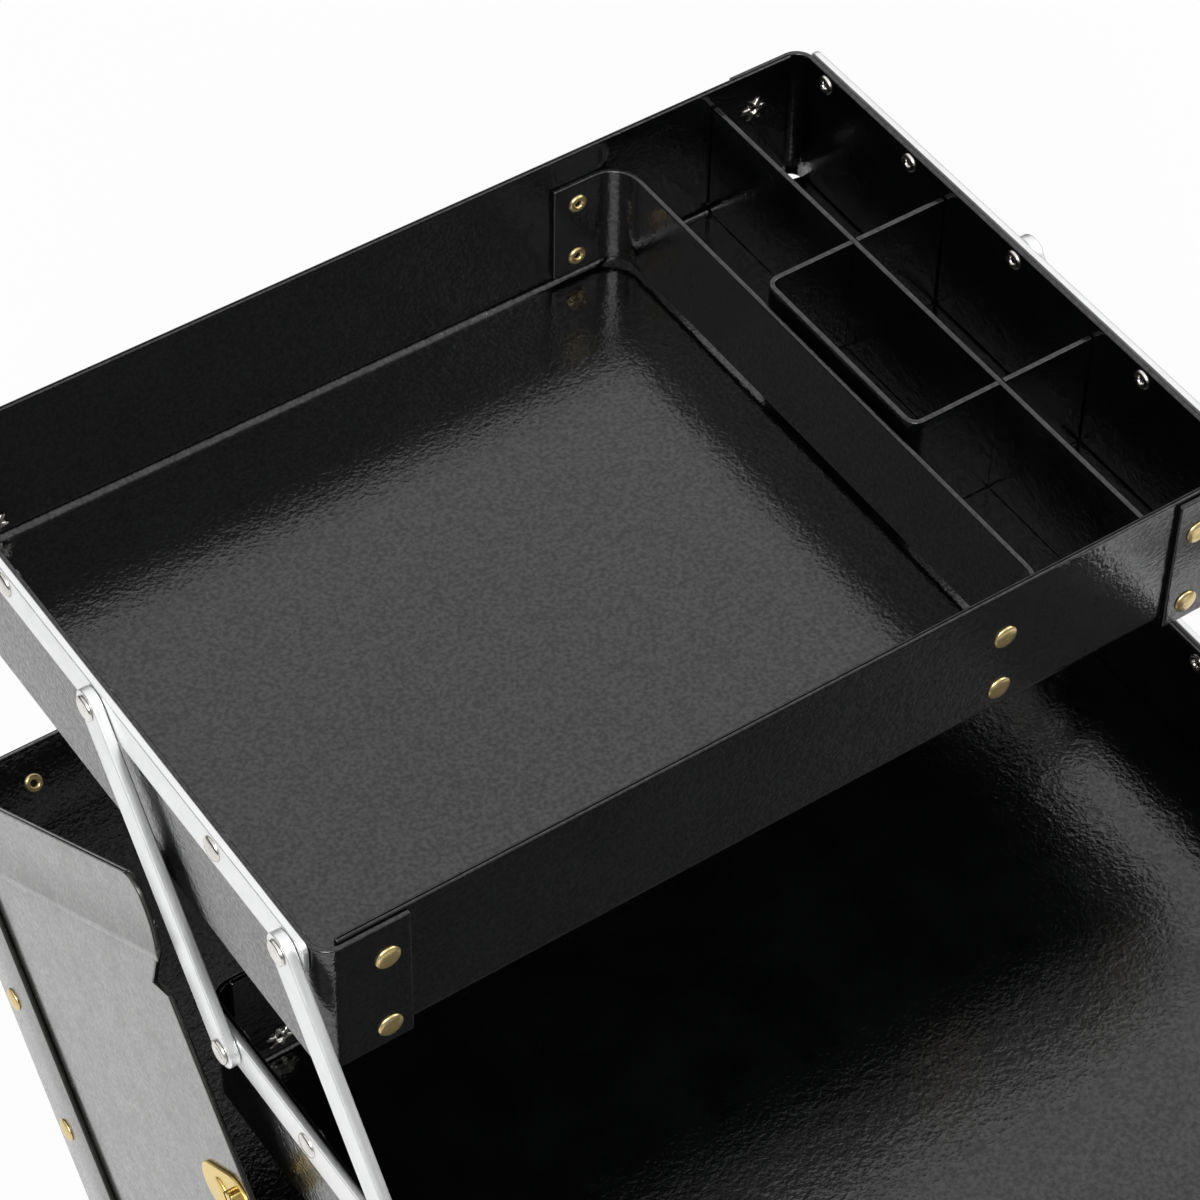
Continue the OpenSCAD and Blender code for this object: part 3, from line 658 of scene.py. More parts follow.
@dataclass
class RivetKit:
    """Domed rivet heads, eyelet tails, splayed star tails and pivot pins, made along the third axis."""

    head_r: float = 3.5
    head_h: float = 1.2
    rim_h: float = 0.2
    tail_r: float = 2.9
    tail_h: float = 0.8
    hole_r: float = 1.05
    pin_head_r: float = 3.6
    pin_head_h: float = 0.9
    pin_r: float = 2.0
    pin_bevel: float = 0.1
    star_lobes: int = 6
    star_twist: float = 0.9

    def dome(self) -> Shape:
        """A domed head: half an ellipse across over a short rolled rim, closed just below its seat."""
        t = np.linspace(0, 0.46 * np.pi, 12)
        cap = np.stack([self.head_r * np.sin(t), self.rim_h + (self.head_h - self.rim_h) * np.cos(t)], 1)
        rim = np.array([[1.01, 0.14], [0.99, 0.02], [0.9, -0.1], [0, -0.1]]) * [self.head_r, 1]
        return turned(np.concatenate([cap, rim]))

    def eyelet(self) -> Shape:
        """An eyelet tail: a rolled ring, half a circle across, round a deep hole with a floor."""
        t = np.linspace(np.pi, 0, 9)
        mid = (self.hole_r + self.tail_r) / 2
        ring = np.stack([mid + (self.tail_r - mid) * np.cos(t), self.tail_h * np.sin(t)], 1)
        inside = np.array([[0, -0.9], [self.hole_r * 0.7, -0.9], [self.hole_r * 0.96, -0.6]])
        return turned(np.concatenate([inside, ring, [[self.tail_r * 0.9, -0.15], [0, -1.1]]]))

    def star(self, twist: float) -> Shape:
        """A splayed tail: a hollow stem whose end is cut into lobes that lie back on the board.

        Args:
            twist: phase of the lobes, in radians.

        Returns:
            The shape.
        """
        rows = np.array([[0, -0.5], [0.5, -0.5], [0.95, -0.2], [1.2, 0.45], [1.55, 0.78], [2.1, 0.82],
                         [2.8, 0.6], [3.25, 0.3], [3.1, 0.12], [2.4, 0.1], [1.4, -0.1], [0, -0.6]])
        depth = np.array([0, 0, 0.03, 0.1, 0.2, 0.29, 0.34, 0.32, 0.24, 0.1])
        return turned(rows, 60, depth, self.star_lobes, twist)

    def pin_head(self) -> Shape:
        """A pivot pin's flat head: a low dish with a rolled edge and a small sunk middle."""
        r, h = self.pin_head_r, self.pin_head_h
        rows = np.array([[0, h * 0.72], [0.9, h * 0.7], [1.3, h * 0.86], [r * 0.72, h],
                         [r * 0.88, h * 0.94], [r * 0.97, h * 0.72], [r, h * 0.42], [r * 0.98, 0.1],
                         [r * 0.9, 0], [0, 0]])
        return turned(rows)

    def stem(self, low: float, high: float) -> Shape:
        """A plain pin.

        Args:
            low: its lower end.
            high: its upper end.

        Returns:
            The shape.
        """
        r, bevel = self.pin_r, self.pin_bevel
        rows = np.array([[0, high], [r * 0.9, high], [r, high - bevel], [r, low + bevel],
                         [r * 0.9, low], [0, low]])
        return turned(rows)

    def heads(self, places: Sequence[Place]) -> Shape:
        """A domed head at each place."""
        return set_at(places, self.dome())

    def eyelets(self, places: Sequence[Place], grip: float) -> Shape:
        """An eyelet tail behind each place, below the grip of its rivet."""
        return set_at(places, self.eyelet(), -grip, True)

    def stars(self, places: Sequence[Place], grip: float) -> Shape:
        """A star tail behind each place, each turned a little further than the last."""
        return joined([set_at([place], self.star(i * self.star_twist), -grip, True)
                       for i, place in enumerate(places)])


@dataclass
class Tray:
    """A tray or the body: a folded board, two end boards and their corner rivets."""

    body: str
    wide: float
    deep: float
    high: float
    centre: Triple
    board: float = 1.6
    corner: float = 6.0
    fold: float = 4.0
    flange: float = 25.6
    wrap_drop: float = 1.0
    rivet_in: float = 18.8

    def shell(self) -> Shape:
        """The front, floor and back: a trough's line in Y and Z, as long in X as the wall or the floor is."""
        half = self.deep / 2 - self.board * 1.5
        mid = self.board / 2
        path = rounded_path([[-half, self.high], [-half, mid], [half, mid], [half, self.high]],
                            [0, self.fold - mid, self.fold - mid, 0], False, 8)
        tongue = self.deep / 2 - self.board - self.fold
        path = with_stops(path, 0, (-tongue, tongue))
        long_part = np.abs(path[:, 0]) < tongue
        reach = np.where(long_part, self.wide / 2 - self.board, self.wide / 2 - self.corner)
        return folded_board(path, -reach, reach, self.board).moved(ALONG_X, self.centre)

    def end(self, side: int) -> Shape:
        """One end board: front flange, round corner, wall, round corner, back flange.

        Args:
            side: 1 for the right end, -1 for the left.

        Returns:
            The shape in its place.
        """
        mid = self.board / 2
        x, y = self.wide / 2 - mid, self.deep / 2 - mid
        start = self.wide / 2 - self.flange
        bend = self.corner - mid
        path = rounded_path([[start, -y], [x, -y], [x, y], [start, y]], [0, bend, bend, 0], False, 12)
        high = np.full(len(path), self.high - self.wrap_drop)
        made = folded_board(path, np.zeros(len(path)), high, self.board)
        return made.moved(mirrored_to(side), self.centre)

    def corner_places(self, heights: Sequence[float]) -> List[Place]:
        """Facing and seat of each corner rivet.

        Args:
            heights: heights of the rivets in a corner.

        Returns:
            A list of facing and point.
        """
        x, y = self.wide / 2 - self.rivet_in, self.deep / 2
        return [(Facing.FRONT if sy < 0 else Facing.BACK, np.array([sx * x, sy * y, z]) + self.centre)
                for sx in (-1, 1) for sy in (-1, 1) for z in heights]

    def end_places(self, side: int, x: float, ys: Sequence[float], z: float) -> List[Place]:
        """Facing and seat of places along one end.

        Args:
            side: 1 for the right end, -1 for the left.
            x: distance of the seats from the middle.
            ys: places along the end.
            z: height of the seats.

        Returns:
            A list of facing and point.
        """
        way = Facing.RIGHT if side > 0 else Facing.LEFT
        return [(way, np.array([side * x, y, z]) + self.centre) for y in ys]


@dataclass
class Strip:
    """A flat alloy strip in the plane of an end.

    support is the distance from a link's round end at which its straight edge gets a point.
    """

    side: int
    inner: float
    thick: float
    corner: float = 2.5
    support: float = 1.0

    def bar(self, length: float, high: float, y: float, z: float) -> Shape:
        """A bar with small round corners.

        Args:
            length: its length along Y.
            high: its height.
            y: its middle along Y.
            z: its middle height.

        Returns:
            The shape in its place.
        """
        return self.laid(rectangle(length / 2, high / 2, self.corner), y, z, 0.0)

    def link(self, length: float, wide: float, y: float, z: float, angle: float) -> Shape:
        """A link with fully round ends.

        Args:
            length: distance between its pivots.
            wide: its width.
            y: its lower pivot along Y.
            z: its lower pivot's height.
            angle: its lean from the horizontal, in degrees.

        Returns:
            The shape in its place.
        """
        r = wide / 2
        t = np.linspace(-np.pi / 2, np.pi / 2, 15)
        far = np.stack([length + r * np.cos(t), r * np.sin(t)], 1)
        near = np.stack([-r * np.cos(t), -r * np.sin(t)], 1)
        edge = np.array([[length - self.support, r], [self.support, r]])
        other = np.array([[self.support, -r], [length - self.support, -r]])
        return self.laid(np.concatenate([far, edge, near, other]), y, z, math.radians(angle))

    def laid(self, outline: Array, y: float, z: float, angle: float) -> Shape:
        """Lays an outline on the end and gives it thickness.

        Args:
            outline: closed outline in Y and Z.
            y: where its origin goes along Y.
            z: where its origin goes in height.
            angle: its turn in radians.

        Returns:
            The shape in its place.
        """
        c, s = math.cos(angle), math.sin(angle)
        turned_outline = outline @ np.array([[c, s], [-s, c]]) + [y, z]
        made = plate(turned_outline, self.inner, self.inner + self.thick)
        return made.moved(mirrored_to(self.side) @ ALONG_X)


@dataclass
class Box:
    """The whole box: sizes that all sub-assemblies share, and places that are read from the solids.

    lower_rise and stack_gap are the height between a folded lower link's pivots and the gap between the
    stacked trays.
    """

    board: float = 1.6
    tray_w: float = 285.0
    tray_d: float = 200.0
    upper_h: float = 47.0
    lower_h: float = 40.0
    body_h: float = 72.7
    side_room: float = 6.8
    tray_room: float = 4.4
    rail_t: float = 1.4
    rail_drop: float = 6.0
    bar_t: float = 2.0
    bar_h: float = 11.0
    bar_end: float = 4.0
    link_gap: float = 0.2
    link_t: float = 3.0
    link_w: float = 10.0
    lower_len: float = 121.0
    lower_open: float = 91.4
    lower_rise: float = 40.0
    upper_len: float = 96.5
    upper_open: float = 54.4
    stack_gap: float = 1.0
    upper_pitch: float = 90.0
    lower_pitch: float = 50.0
    pivot_drop: float = 5.0
    pivot_in: float = 18.0
    pin_play: float = 0.1
    bracket_rise: float = 8.0
    bracket_over: float = 14.0
    lid_open: float = 125.0
    hinge_out: float = 2.5
    lid_rise: float = 22.0

    @property
    def body_w(self) -> float:
        """Width of the body over its ends."""
        return self.tray_w + 2 * (self.side_room + self.board)

    @property
    def body_d(self) -> float:
        """Depth of the body over its flanges."""
        return self.tray_d + 2 * (self.tray_room + self.board)

    @property
    def rear(self) -> float:
        """The body's rear pivots along Y."""
        return self.body_d / 2 - self.pivot_in

    @property
    def rail_z(self) -> float:
        """Height of the body's pivots."""
        return self.body_h - self.rail_drop

    @property
    def lower_run(self) -> float:
        """Distance along Y between a folded lower link's pivots."""
        return math.sqrt(self.lower_len ** 2 - self.lower_rise ** 2)

    @property
    def upper_run(self) -> float:
        """Distance along Y between a folded upper link's pivots."""
        return math.sqrt(self.upper_len ** 2 - (self.upper_h + self.stack_gap) ** 2)

    @property
    def pin_reach(self) -> float:
        """What a pin needs beyond its seat to hold a link."""
        return self.link_gap + self.link_t + self.pin_play

    @property
    def lower_at(self) -> Triple:
        """Middle of the lower tray's underside."""
        low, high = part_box("lower_tray_shell")
        return (0.0, (low.y + high.y) / 2 / MM, low.z / MM)

    @property
    def upper_at(self) -> Triple:
        """Middle of the upper tray's underside."""
        low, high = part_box("upper_tray_shell")
        return (0.0, (low.y + high.y) / 2 / MM, low.z / MM)

    @property
    def hinge_at(self) -> Tuple[float, float]:
        """The lid's hinge axis in Y and Z."""
        low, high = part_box("hinge_pins")
        return ((low.y + high.y) / 2 / MM, (low.z + high.z) / 2 / MM)


@dataclass
class BodyPart:
    """The body's boards, rails, rivets, pins, hinges and latches."""

    box: Box
    maker: Maker
    kit: RivetKit
    fixes: Tuple[float, ...] = (8.0,)
    rivet_heights: Tuple[float, ...] = (12.0, 36.35, 58.7)

    def build(self) -> None:
        """Makes every piece of the body."""
        b, maker, kit = self.box, self.maker, self.kit
        tray = Tray("body", b.body_w, b.body_d, b.body_h, (0, 0, 0))
        maker.piece("body_board", tray.shell(), BOARD, "body", "body_shell")
        for side, word in SIDES:
            maker.piece(f"body_end_board_{word}", tray.end(side), BOARD, "body", f"body_end_{word}")
            low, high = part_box(f"body_rail_{word}")
            strip = Strip(side, min(abs(low.x), abs(high.x)) / MM, (high.x - low.x) / MM)
            y, z = (low.y + high.y) / 2 / MM, (low.z + high.z) / 2 / MM
            rail = strip.bar((high.y - low.y) / MM, b.bar_h, y, z)
            maker.piece(f"body_rail_strip_{word}", rail, ALLOY, "body", f"body_rail_{word}")
        places = tray.corner_places(self.rivet_heights)
        maker.piece("body_corner_heads", kit.heads(places), RIVET, "body", "body_corner_rivets")
        maker.piece("body_corner_tails", kit.stars(places, 2 * b.board), TAIL, "body")
        pivots = (b.rear, b.rear - b.lower_pitch)
        grip = b.board + b.rail_t
        reach = grip + b.pin_reach
        heads: List[Shape] = []
        tails: List[Shape] = []
        pins: List[Shape] = []
        for side, _ in SIDES:
            fix = tray.end_places(side, b.body_w / 2, self.fixes, b.rail_z)
            heads.append(kit.heads(fix))
            tails.append(kit.eyelets(fix, grip))
            ends = tray.end_places(side, b.body_w / 2, pivots, b.rail_z)
            pins.append(set_at(ends, kit.pin_head()))
            pins.append(set_at(ends, kit.stem(-reach, 0.0)))
            pins.append(set_at(ends, kit.pin_head(), -reach, True))
        maker.piece("body_rail_heads", joined(heads + tails), RIVET, "body", "body_rail_rivets")
        maker.piece("body_link_pins", joined(pins), TAIL, "body", "body_pivot_pins")
        maker.dress(LATCH, "body_hinge_leaves", "latch_leaf_left", "latch_leaf_right", "latch_hasp_left",
                    "latch_hasp_right")
        maker.dress(STEEL, "hinge_pins", "latch_pins")


@dataclass
class LinkSet:
    """The eight flat links."""

    box: Box
    maker: Maker

    def build(self) -> None:
        """Makes every link at its open lean."""
        b = self.box
        inner = b.tray_w / 2 + b.bar_t + b.link_gap
        _, middle, foot = b.lower_at
        level = foot + b.lower_h - b.pivot_drop
        for side, word in SIDES:
            strip = Strip(side, inner, b.link_t)
            for row, place in enumerate(("rear", "front")):
                lower_y = b.rear - row * b.lower_pitch
                upper_y = middle + b.upper_run - row * b.upper_pitch
                lower = strip.link(b.lower_len, b.link_w, lower_y, b.rail_z, b.lower_open)
                upper = strip.link(b.upper_len, b.link_w, upper_y, level, b.upper_open)
                for tier, shape in (("lower", lower), ("upper", upper)):
                    link = f"{tier}_link_{word}_{place}"
                    self.maker.piece(f"{link}_strip", shape, ALLOY, link, link)


@dataclass
class TrayPart:
    """What both trays share: boards, end strips, rivets and pins."""

    box: Box
    maker: Maker
    kit: RivetKit
    word: str
    strip_word: str
    at: Triple
    high: float
    rivet_heights: Tuple[float, ...]
    fixes: Tuple[float, ...]
    pivots: Tuple[float, ...]

    def pins(self, tray: Tray, ys: Sequence[float], z: float) -> Shape:
        """Pivot pins at both ends: head over the link, stem, and eyelet tail inside the tray.

        Args:
            tray: the tray.
            ys: places along the end.
            z: height of the pivots.

        Returns:
            All pins as one shape.
        """
        b, kit = self.box, self.kit
        grip = b.board + b.bar_t
        shapes: List[Shape] = []
        for side, _ in SIDES:
            ends = tray.end_places(side, b.tray_w / 2 + b.bar_t, ys, z)
            shapes.append(set_at(ends, kit.pin_head(), b.pin_reach))
            shapes.append(set_at(ends, kit.stem(-grip, b.pin_reach)))
            shapes.append(kit.eyelets(ends, grip))
        return joined(shapes)

    def build_common(self) -> Tray:
        """Makes the boards, strips, rivets and pins that both trays have.

        Returns:
            The tray's sizes and place.
        """
        b, maker, kit, w = self.box, self.maker, self.kit, self.word
        body = f"{w}_tray"
        row = f"{w}_{self.strip_word}"
        tray = Tray(body, b.tray_w, b.tray_d, self.high, self.at)
        maker.piece(f"{w}_tray_board", tray.shell(), BOARD, body, f"{w}_tray_shell")
        level = self.high - b.pivot_drop
        strip_z = self.at[2] + self.high - b.bar_h / 2
        heads: List[Shape] = []
        tails: List[Shape] = []
        for side, word in SIDES:
            maker.piece(f"{w}_end_board_{word}", tray.end(side), BOARD, body, f"{w}_end_{word}")
            strip = Strip(side, b.tray_w / 2, b.bar_t)
            shape = strip.bar(b.tray_d - 2 * b.bar_end, b.bar_h, self.at[1], strip_z)
            maker.piece(f"{row}_{word}_strip", shape, ALLOY, body, f"{row}_{word}")
            fix = tray.end_places(side, b.tray_w / 2 + b.bar_t, self.fixes, level)
            heads.append(kit.heads(fix))
            tails.append(kit.eyelets(fix, b.board + b.bar_t))
        maker.piece(f"{row}_heads", joined(heads), TAIL, body, f"{row}_rivets")
        maker.piece(f"{row}_tails", joined(tails), TAIL, body)
        places = tray.corner_places(self.rivet_heights)
        maker.piece(f"{w}_corner_heads", kit.heads(places), RIVET, body, f"{w}_corner_rivets")
        maker.piece(f"{w}_corner_tails", kit.stars(places, 2 * b.board), TAIL, body)
        maker.piece(f"{row}_link_pins", self.pins(tray, self.pivots, level), TAIL, body, f"{row}_pins")
        return tray


@dataclass
class LowerTray(TrayPart):
    """The lower tray, with its brackets for the lower links."""

    def build(self) -> None:
        """Makes every piece of the lower tray."""
        b = self.box
        tray = self.build_common()
        rear = b.rear - b.lower_run
        ys = (rear, rear - b.lower_pitch)
        y, z = self.at[1] + sum(ys) / 2, self.at[2] + b.bracket_rise
        for side, word in SIDES:
            strip = Strip(side, b.tray_w / 2, b.bar_t)
            shape = strip.bar(b.lower_pitch + b.bracket_over, b.bar_h, y, z)
            self.maker.piece(f"lower_bracket_{word}_strip", shape, ALLOY, tray.body, f"lower_bracket_{word}")
        pins = self.pins(tray, ys, b.bracket_rise)
        self.maker.piece("lower_bracket_link_pins", pins, TAIL, tray.body, "lower_bracket_pins")


@dataclass
class UpperTray(TrayPart):
    """The upper tray, with its partition, cell insert and long divider."""

    partition_in: float = 65.0
    partition_flange: float = 22.0
    partition_foot: float = 4.0
    partition_drop: float = 10.0
    partition_bend: float = 8.0
    rivet_in: float = 15.0
    rivet_drops: Tuple[float, float] = (37.4, 17.6)
    cell_gap: float = 2.6
    cell_play: float = 0.3
    cell_bend: float = 3.2
    cell_drop: float = 6.0
    cell_edge: float = 0.35
    divider_in: float = 32.5
    divider_round: float = 2.4
    arms: Tuple[float, float] = (-34.0, 31.0)
    lap: float = 0.15

    def build(self) -> None:
        """Makes every piece of the upper tray."""
        tray = self.build_common()
        self.partition(tray)
        self.cells(tray)

    def partition(self, tray: Tray) -> None:
        """The riveted partition: a straight wall whose ends bend to the left along the front and back.

        Args:
            tray: the tray that holds it.
        """
        b, maker, kit = self.box, self.maker, self.kit
        x = b.tray_w / 2 - self.partition_in
        y = b.tray_d / 2 - 2.5 * b.board
        left = x - self.partition_flange - b.board / 2
        bend = self.partition_bend + b.board / 2
        path = rounded_path([[left, -y], [x, -y], [x, y], [left, y]], [0, bend, bend, 0], False, 8)
        low = np.full(len(path), self.partition_foot)
        high = np.full(len(path), self.high - self.partition_drop)
        made = folded_board(path, low, high, b.board).moved(UPRIGHT, self.at)
        maker.piece("partition_board", made, BOARD, tray.body, "partition")
        rivet_x, rivet_y = x - self.rivet_in, b.tray_d / 2 - b.board
        places = [(way, np.array([rivet_x, s * rivet_y, self.high - drop]) + self.at)
                  for s, way in ((-1, Facing.FRONT), (1, Facing.BACK)) for drop in self.rivet_drops]
        maker.piece("partition_heads", kit.heads(places), RIVET, tray.body, "partition_rivets")
        maker.piece("partition_tails", kit.eyelets(places, 2 * b.board), RIVET, tray.body)

    def cells(self, tray: Tray) -> None:
        """The cell insert and the long divider, which cross with half laps.

        Args:
            tray: the tray that holds them.
        """
        b, bend, foot = self.box, self.cell_bend, self.divider_round
        x = b.tray_w / 2 - self.partition_in + b.board / 2 + self.cell_gap
        far = b.tray_w / 2 - b.board - self.cell_play
        cross = b.tray_w / 2 - self.divider_in
        low, high = self.arms
        top = self.high - self.cell_drop
        middle = b.board + (top - b.board) / 2
        slot = b.board / 2 + self.lap
        path = rounded_path([[far, low], [x, low], [x, high], [far, high]], [0, bend, bend, 0], False, 8)
        path = with_stops(path, 0, (cross + slot, cross - slot))
        tops = np.where(np.abs(path[:, 0] - cross) < slot, middle, top)
        insert = folded_board(path, np.full(len(path), b.board), tops, b.board, self.cell_edge)
        self.maker.piece("cell_insert_board", insert.moved(UPRIGHT, self.at), BOARD, tray.body, "cell_insert")
        reach = b.tray_d / 2 - 2 * b.board - self.cell_play
        marks = [a + s for a in self.arms for s in (-slot, slot)] + [foot - reach, reach - foot]
        line = with_stops(np.array([[cross, -reach], [cross, 0.0], [cross, reach]]), 1, marks)
        near = np.min(np.abs(line[:, 1:] - np.array([self.arms])), 1) < slot
        lift = np.clip(np.abs(line[:, 1]) - (reach - foot), 0, foot)
        base = b.board + foot - np.sqrt(np.maximum(foot ** 2 - lift ** 2, 0))
        lows = np.where(near, middle, base)
        made = folded_board(line, lows, np.full(len(line), top), b.board, self.cell_edge)
        divider = made.moved(UPRIGHT, self.at)
        self.maker.piece("long_divider_board", divider, BOARD, tray.body, "long_divider")


@dataclass
class Keeper:
    """A latch keeper: a plate with round ends, an oval rivet head and a raised slotted tab near the rim.

    Heights run up from the lid's rim and depths run out from the cheek.
    """

    kit: RivetKit
    cheek_x: float
    y: float = -10.0
    low: float = 3.0
    high: float = 32.0
    half: float = 7.5
    thick: float = 1.0
    edge: float = 0.3
    head_z: float = 20.0
    head_stretch: float = 1.25
    tab_half: float = 4.5
    tab_out: float = 4.0
    bar_half: float = 0.65
    bar_corner: float = 0.4
    bar_from: float = 0.9
    bar_rises: Tuple[float, float] = (2.15, 5.85)
    cap_half: float = 2.5
    cap_corner: float = 0.6
    cap_from: float = 3.2
    cap_rise: float = 4.0
    cap_edge: float = 0.25

    def slab(self, outline: Array, z: float, start: float, end: float, edge: float) -> Shape:
        """A flat slab of the keeper.

        Args:
            outline: closed outline in Y and Z.
            z: height of its origin.
            start: depth of its inner face.
            end: depth of its outer face.
            edge: radius of its edges.

        Returns:
            The shape on the right cheek, shut.
        """
        made = plate(outline + [self.y, z], self.cheek_x + start, self.cheek_x + end, edge)
        return made.moved(ALONG_X)

    def shape(self) -> Shape:
        """The whole keeper on the right cheek, shut."""
        t = np.linspace(0, np.pi, 17)
        arc = self.half * np.stack([np.cos(t), np.sin(t)], 1)
        outline = np.concatenate([arc + [0, self.high - self.half], [0, self.low + self.half] - arc])
        shapes = [self.slab(outline, 0.0, 0.0, self.thick, self.edge)]
        head = self.kit.dome()
        head.points[:, 1] *= self.head_stretch
        shapes.append(head.moved(Facing.RIGHT.turn, (self.cheek_x + self.thick, self.y, self.head_z)))
        bar = rectangle(self.tab_half, self.bar_half, self.bar_corner, 3)
        for rise in self.bar_rises:
            shapes.append(self.slab(bar, self.low + rise, self.bar_from, self.tab_out, self.edge))
        cap = rectangle(self.tab_half, self.cap_half, self.cap_corner, 4)
        shapes.append(self.slab(cap, self.low + self.cap_rise, self.cap_from, self.tab_out, self.cap_edge))
        return joined(shapes)


@dataclass
class LidPart:
    """The lid: hood, lip, cheeks, bands, rivets and keepers, open in front, drawn shut and tipped back.

    notch holds where the rim's notch starts, is deepest and ends, from the front, and its depth. crease
    holds where the crease starts and ends along Y, and its step.
    """

    box: Box
    maker: Maker
    kit: RivetKit
    wrap_gap: float = 0.5
    rivet_in: float = 14.7
    rivet_heights: Tuple[float, ...] = (28.0, 104.0)
    hood_bend: float = 3.0
    hood_step: float = 1.0
    band_edge: float = 7.5
    band_pitch: float = 43.1
    band_shift: float = 5.5
    band_rows: Tuple[int, ...] = (-2, -1, 0, 1)
    band_share: float = 0.6
    band_tip: float = 5.0
    band_bends: Tuple[float, ...] = (1, 4, 1, 1, 2, 1)
    notch: Tuple[float, float, float, float] = (20.0, 31.0, 33.0, 13.0)
    notch_lead: Tuple[float, float] = (1.0, 0.5)
    notch_end: Tuple[float, float] = (0.4, 0.35)
    front: float = 102.4
    cheek_corner: float = 6.0
    shoulder_in: float = 0.5
    crease: Triple = (-90.5, -85.0, 1.2)
    crease_bend: float = 60.0
    lip_deep: float = 24.0
    lip_gap: float = 0.3
    lip_corner: float = 1.5
    lip_rivet_in: float = 10.6
    lip_rivets: Tuple[float, ...] = (-122.7, -40.9, 40.9, 122.7)

    @property
    def lean(self) -> float:
        """What the open lid lacks of a half turn, in radians."""
        return math.radians(180 - self.box.lid_open)

    @property
    def wall(self) -> float:
        """Height of the back wall."""
        b = self.box
        return (b.body_h + (b.hinge_out + b.board) * math.sin(self.lean)) / math.cos(self.lean)

    @property
    def wrap(self) -> float:
        """Height of the cheeks where they wrap round the back corners."""
        b = self.box
        return (b.body_h + b.hinge_out * math.sin(self.lean)) / math.cos(self.lean) - self.wrap_gap

    @property
    def whole(self) -> float:
        """Height of the whole lid."""
        return self.wall + self.box.lid_rise

    @property
    def run(self) -> float:
        """Run of the shoulder along Y."""
        return self.box.lid_rise * math.cos(self.lean) / math.sin(self.lean)

    @property
    def plan(self) -> Tray:
        """The lid's plan as a tray, for its corners and rivets."""
        return Tray("lid", self.box.body_w, self.box.body_d, self.wrap, (0, 0, 0), rivet_in=self.rivet_in)

    def add(self, name: str, shape: Shape, finish: Finish, *nodes: str) -> None:
        """Makes a piece of the lid from a shape of the shut lid, turned back about the hinge.

        Args:
            name: the piece's name.
            shape: a shape with the rim at height zero.
            finish: its finish.
            nodes: the solids that it stands for.
        """
        y, z = self.box.hinge_at
        a = math.radians(-self.box.lid_open)
        turn = np.array([[1, 0, 0], [0, math.cos(a), -math.sin(a)], [0, math.sin(a), math.cos(a)]])
        opened = shape.moved(UPRIGHT, (0, -y, 0)).moved(turn, (0, y, z))
        self.maker.piece(name, opened, finish, "lid", *nodes)

    def build(self) -> None:
        """Makes every piece of the lid."""
        b, kit, plan = self.box, self.kit, self.plan
        self.add("lid_hood_board", self.hood(), BOARD, "lid_hood")
        self.add("lid_lip_board", self.lip(), BOARD, "lid_lip")
        keeper = Keeper(kit, b.body_w / 2).shape()
        for side, word in SIDES:
            self.add(f"lid_cheek_board_{word}", self.cheek(side), CHEEK_BOARD_PAINTED_SHEEN, f"lid_cheek_{word}")
            self.add(f"lid_band_board_{word}", self.band(side), CHEEK_BOARD_PAINTED_SHEEN, f"lid_band_{word}")
            self.add(f"lid_keeper_plate_{word}", keeper.moved(mirrored_to(side)), LATCH, f"keeper_{word}")
        grip = 2 * b.board
        corner = [place for place in plan.corner_places(self.rivet_heights) if place[0] is Facing.BACK]
        lip_y = self.lip_rivet_in - self.front
        lip = [(Facing.UP, np.array([x, lip_y, self.whole])) for x in self.lip_rivets]
        heads = [kit.heads(corner + lip), kit.eyelets(lip, grip)]
        tails = [kit.eyelets(corner, grip)]
        ys = [self.band_shift + i * self.band_pitch for i in self.band_rows]
        for side, _ in SIDES:
            row = plan.end_places(side, b.body_w / 2 + b.board, ys, self.whole - self.band_edge)
            heads.append(kit.heads(row))
            tails.append(kit.eyelets(row, grip))
        self.add("lid_heads", joined(heads), RIVET, "lid_rivets")
        self.add("lid_tails", joined(tails), TAIL)
        self.maker.dress(LATCH, "lid_hinge_leaves")

    def hood(self) -> Shape:
        """The folded hood: a top with a free front edge, a shoulder and a back wall, wider above the wall."""
        b = self.box
        mid = b.board / 2
        slope = math.radians(b.lid_open - 90)
        y = b.body_d / 2 - b.board - mid
        low = self.wall - mid * math.tan(slope / 2)
        top_y = b.body_d / 2 - b.board - self.run - mid * math.tan((math.pi / 2 - slope) / 2)
        top_z = self.whole - mid
        path = rounded_path([[-self.front, top_z], [top_y, top_z], [y, low], [y, 0]],
                            [0, self.hood_bend, self.hood_bend, 0], False)
        edge = low - self.hood_step
        path = with_stops(path, 1, (edge,))[::-1]
        reach = np.where(path[:, 1] > edge, b.body_w / 2, b.body_w / 2 - self.plan.corner)
        return folded_board(path, -reach, reach, b.board).moved(ALONG_X)

    def lip(self) -> Shape:
        """The lip: a flat strip that doubles the top's free front edge from inside."""
        b, half = self.box, self.lip_deep / 2
        outline = rectangle(b.body_w / 2 - b.board - self.lip_gap, half, self.lip_corner, 5)
        return plate(outline + [0, half - self.front], self.whole - 2 * b.board, self.whole - b.board)

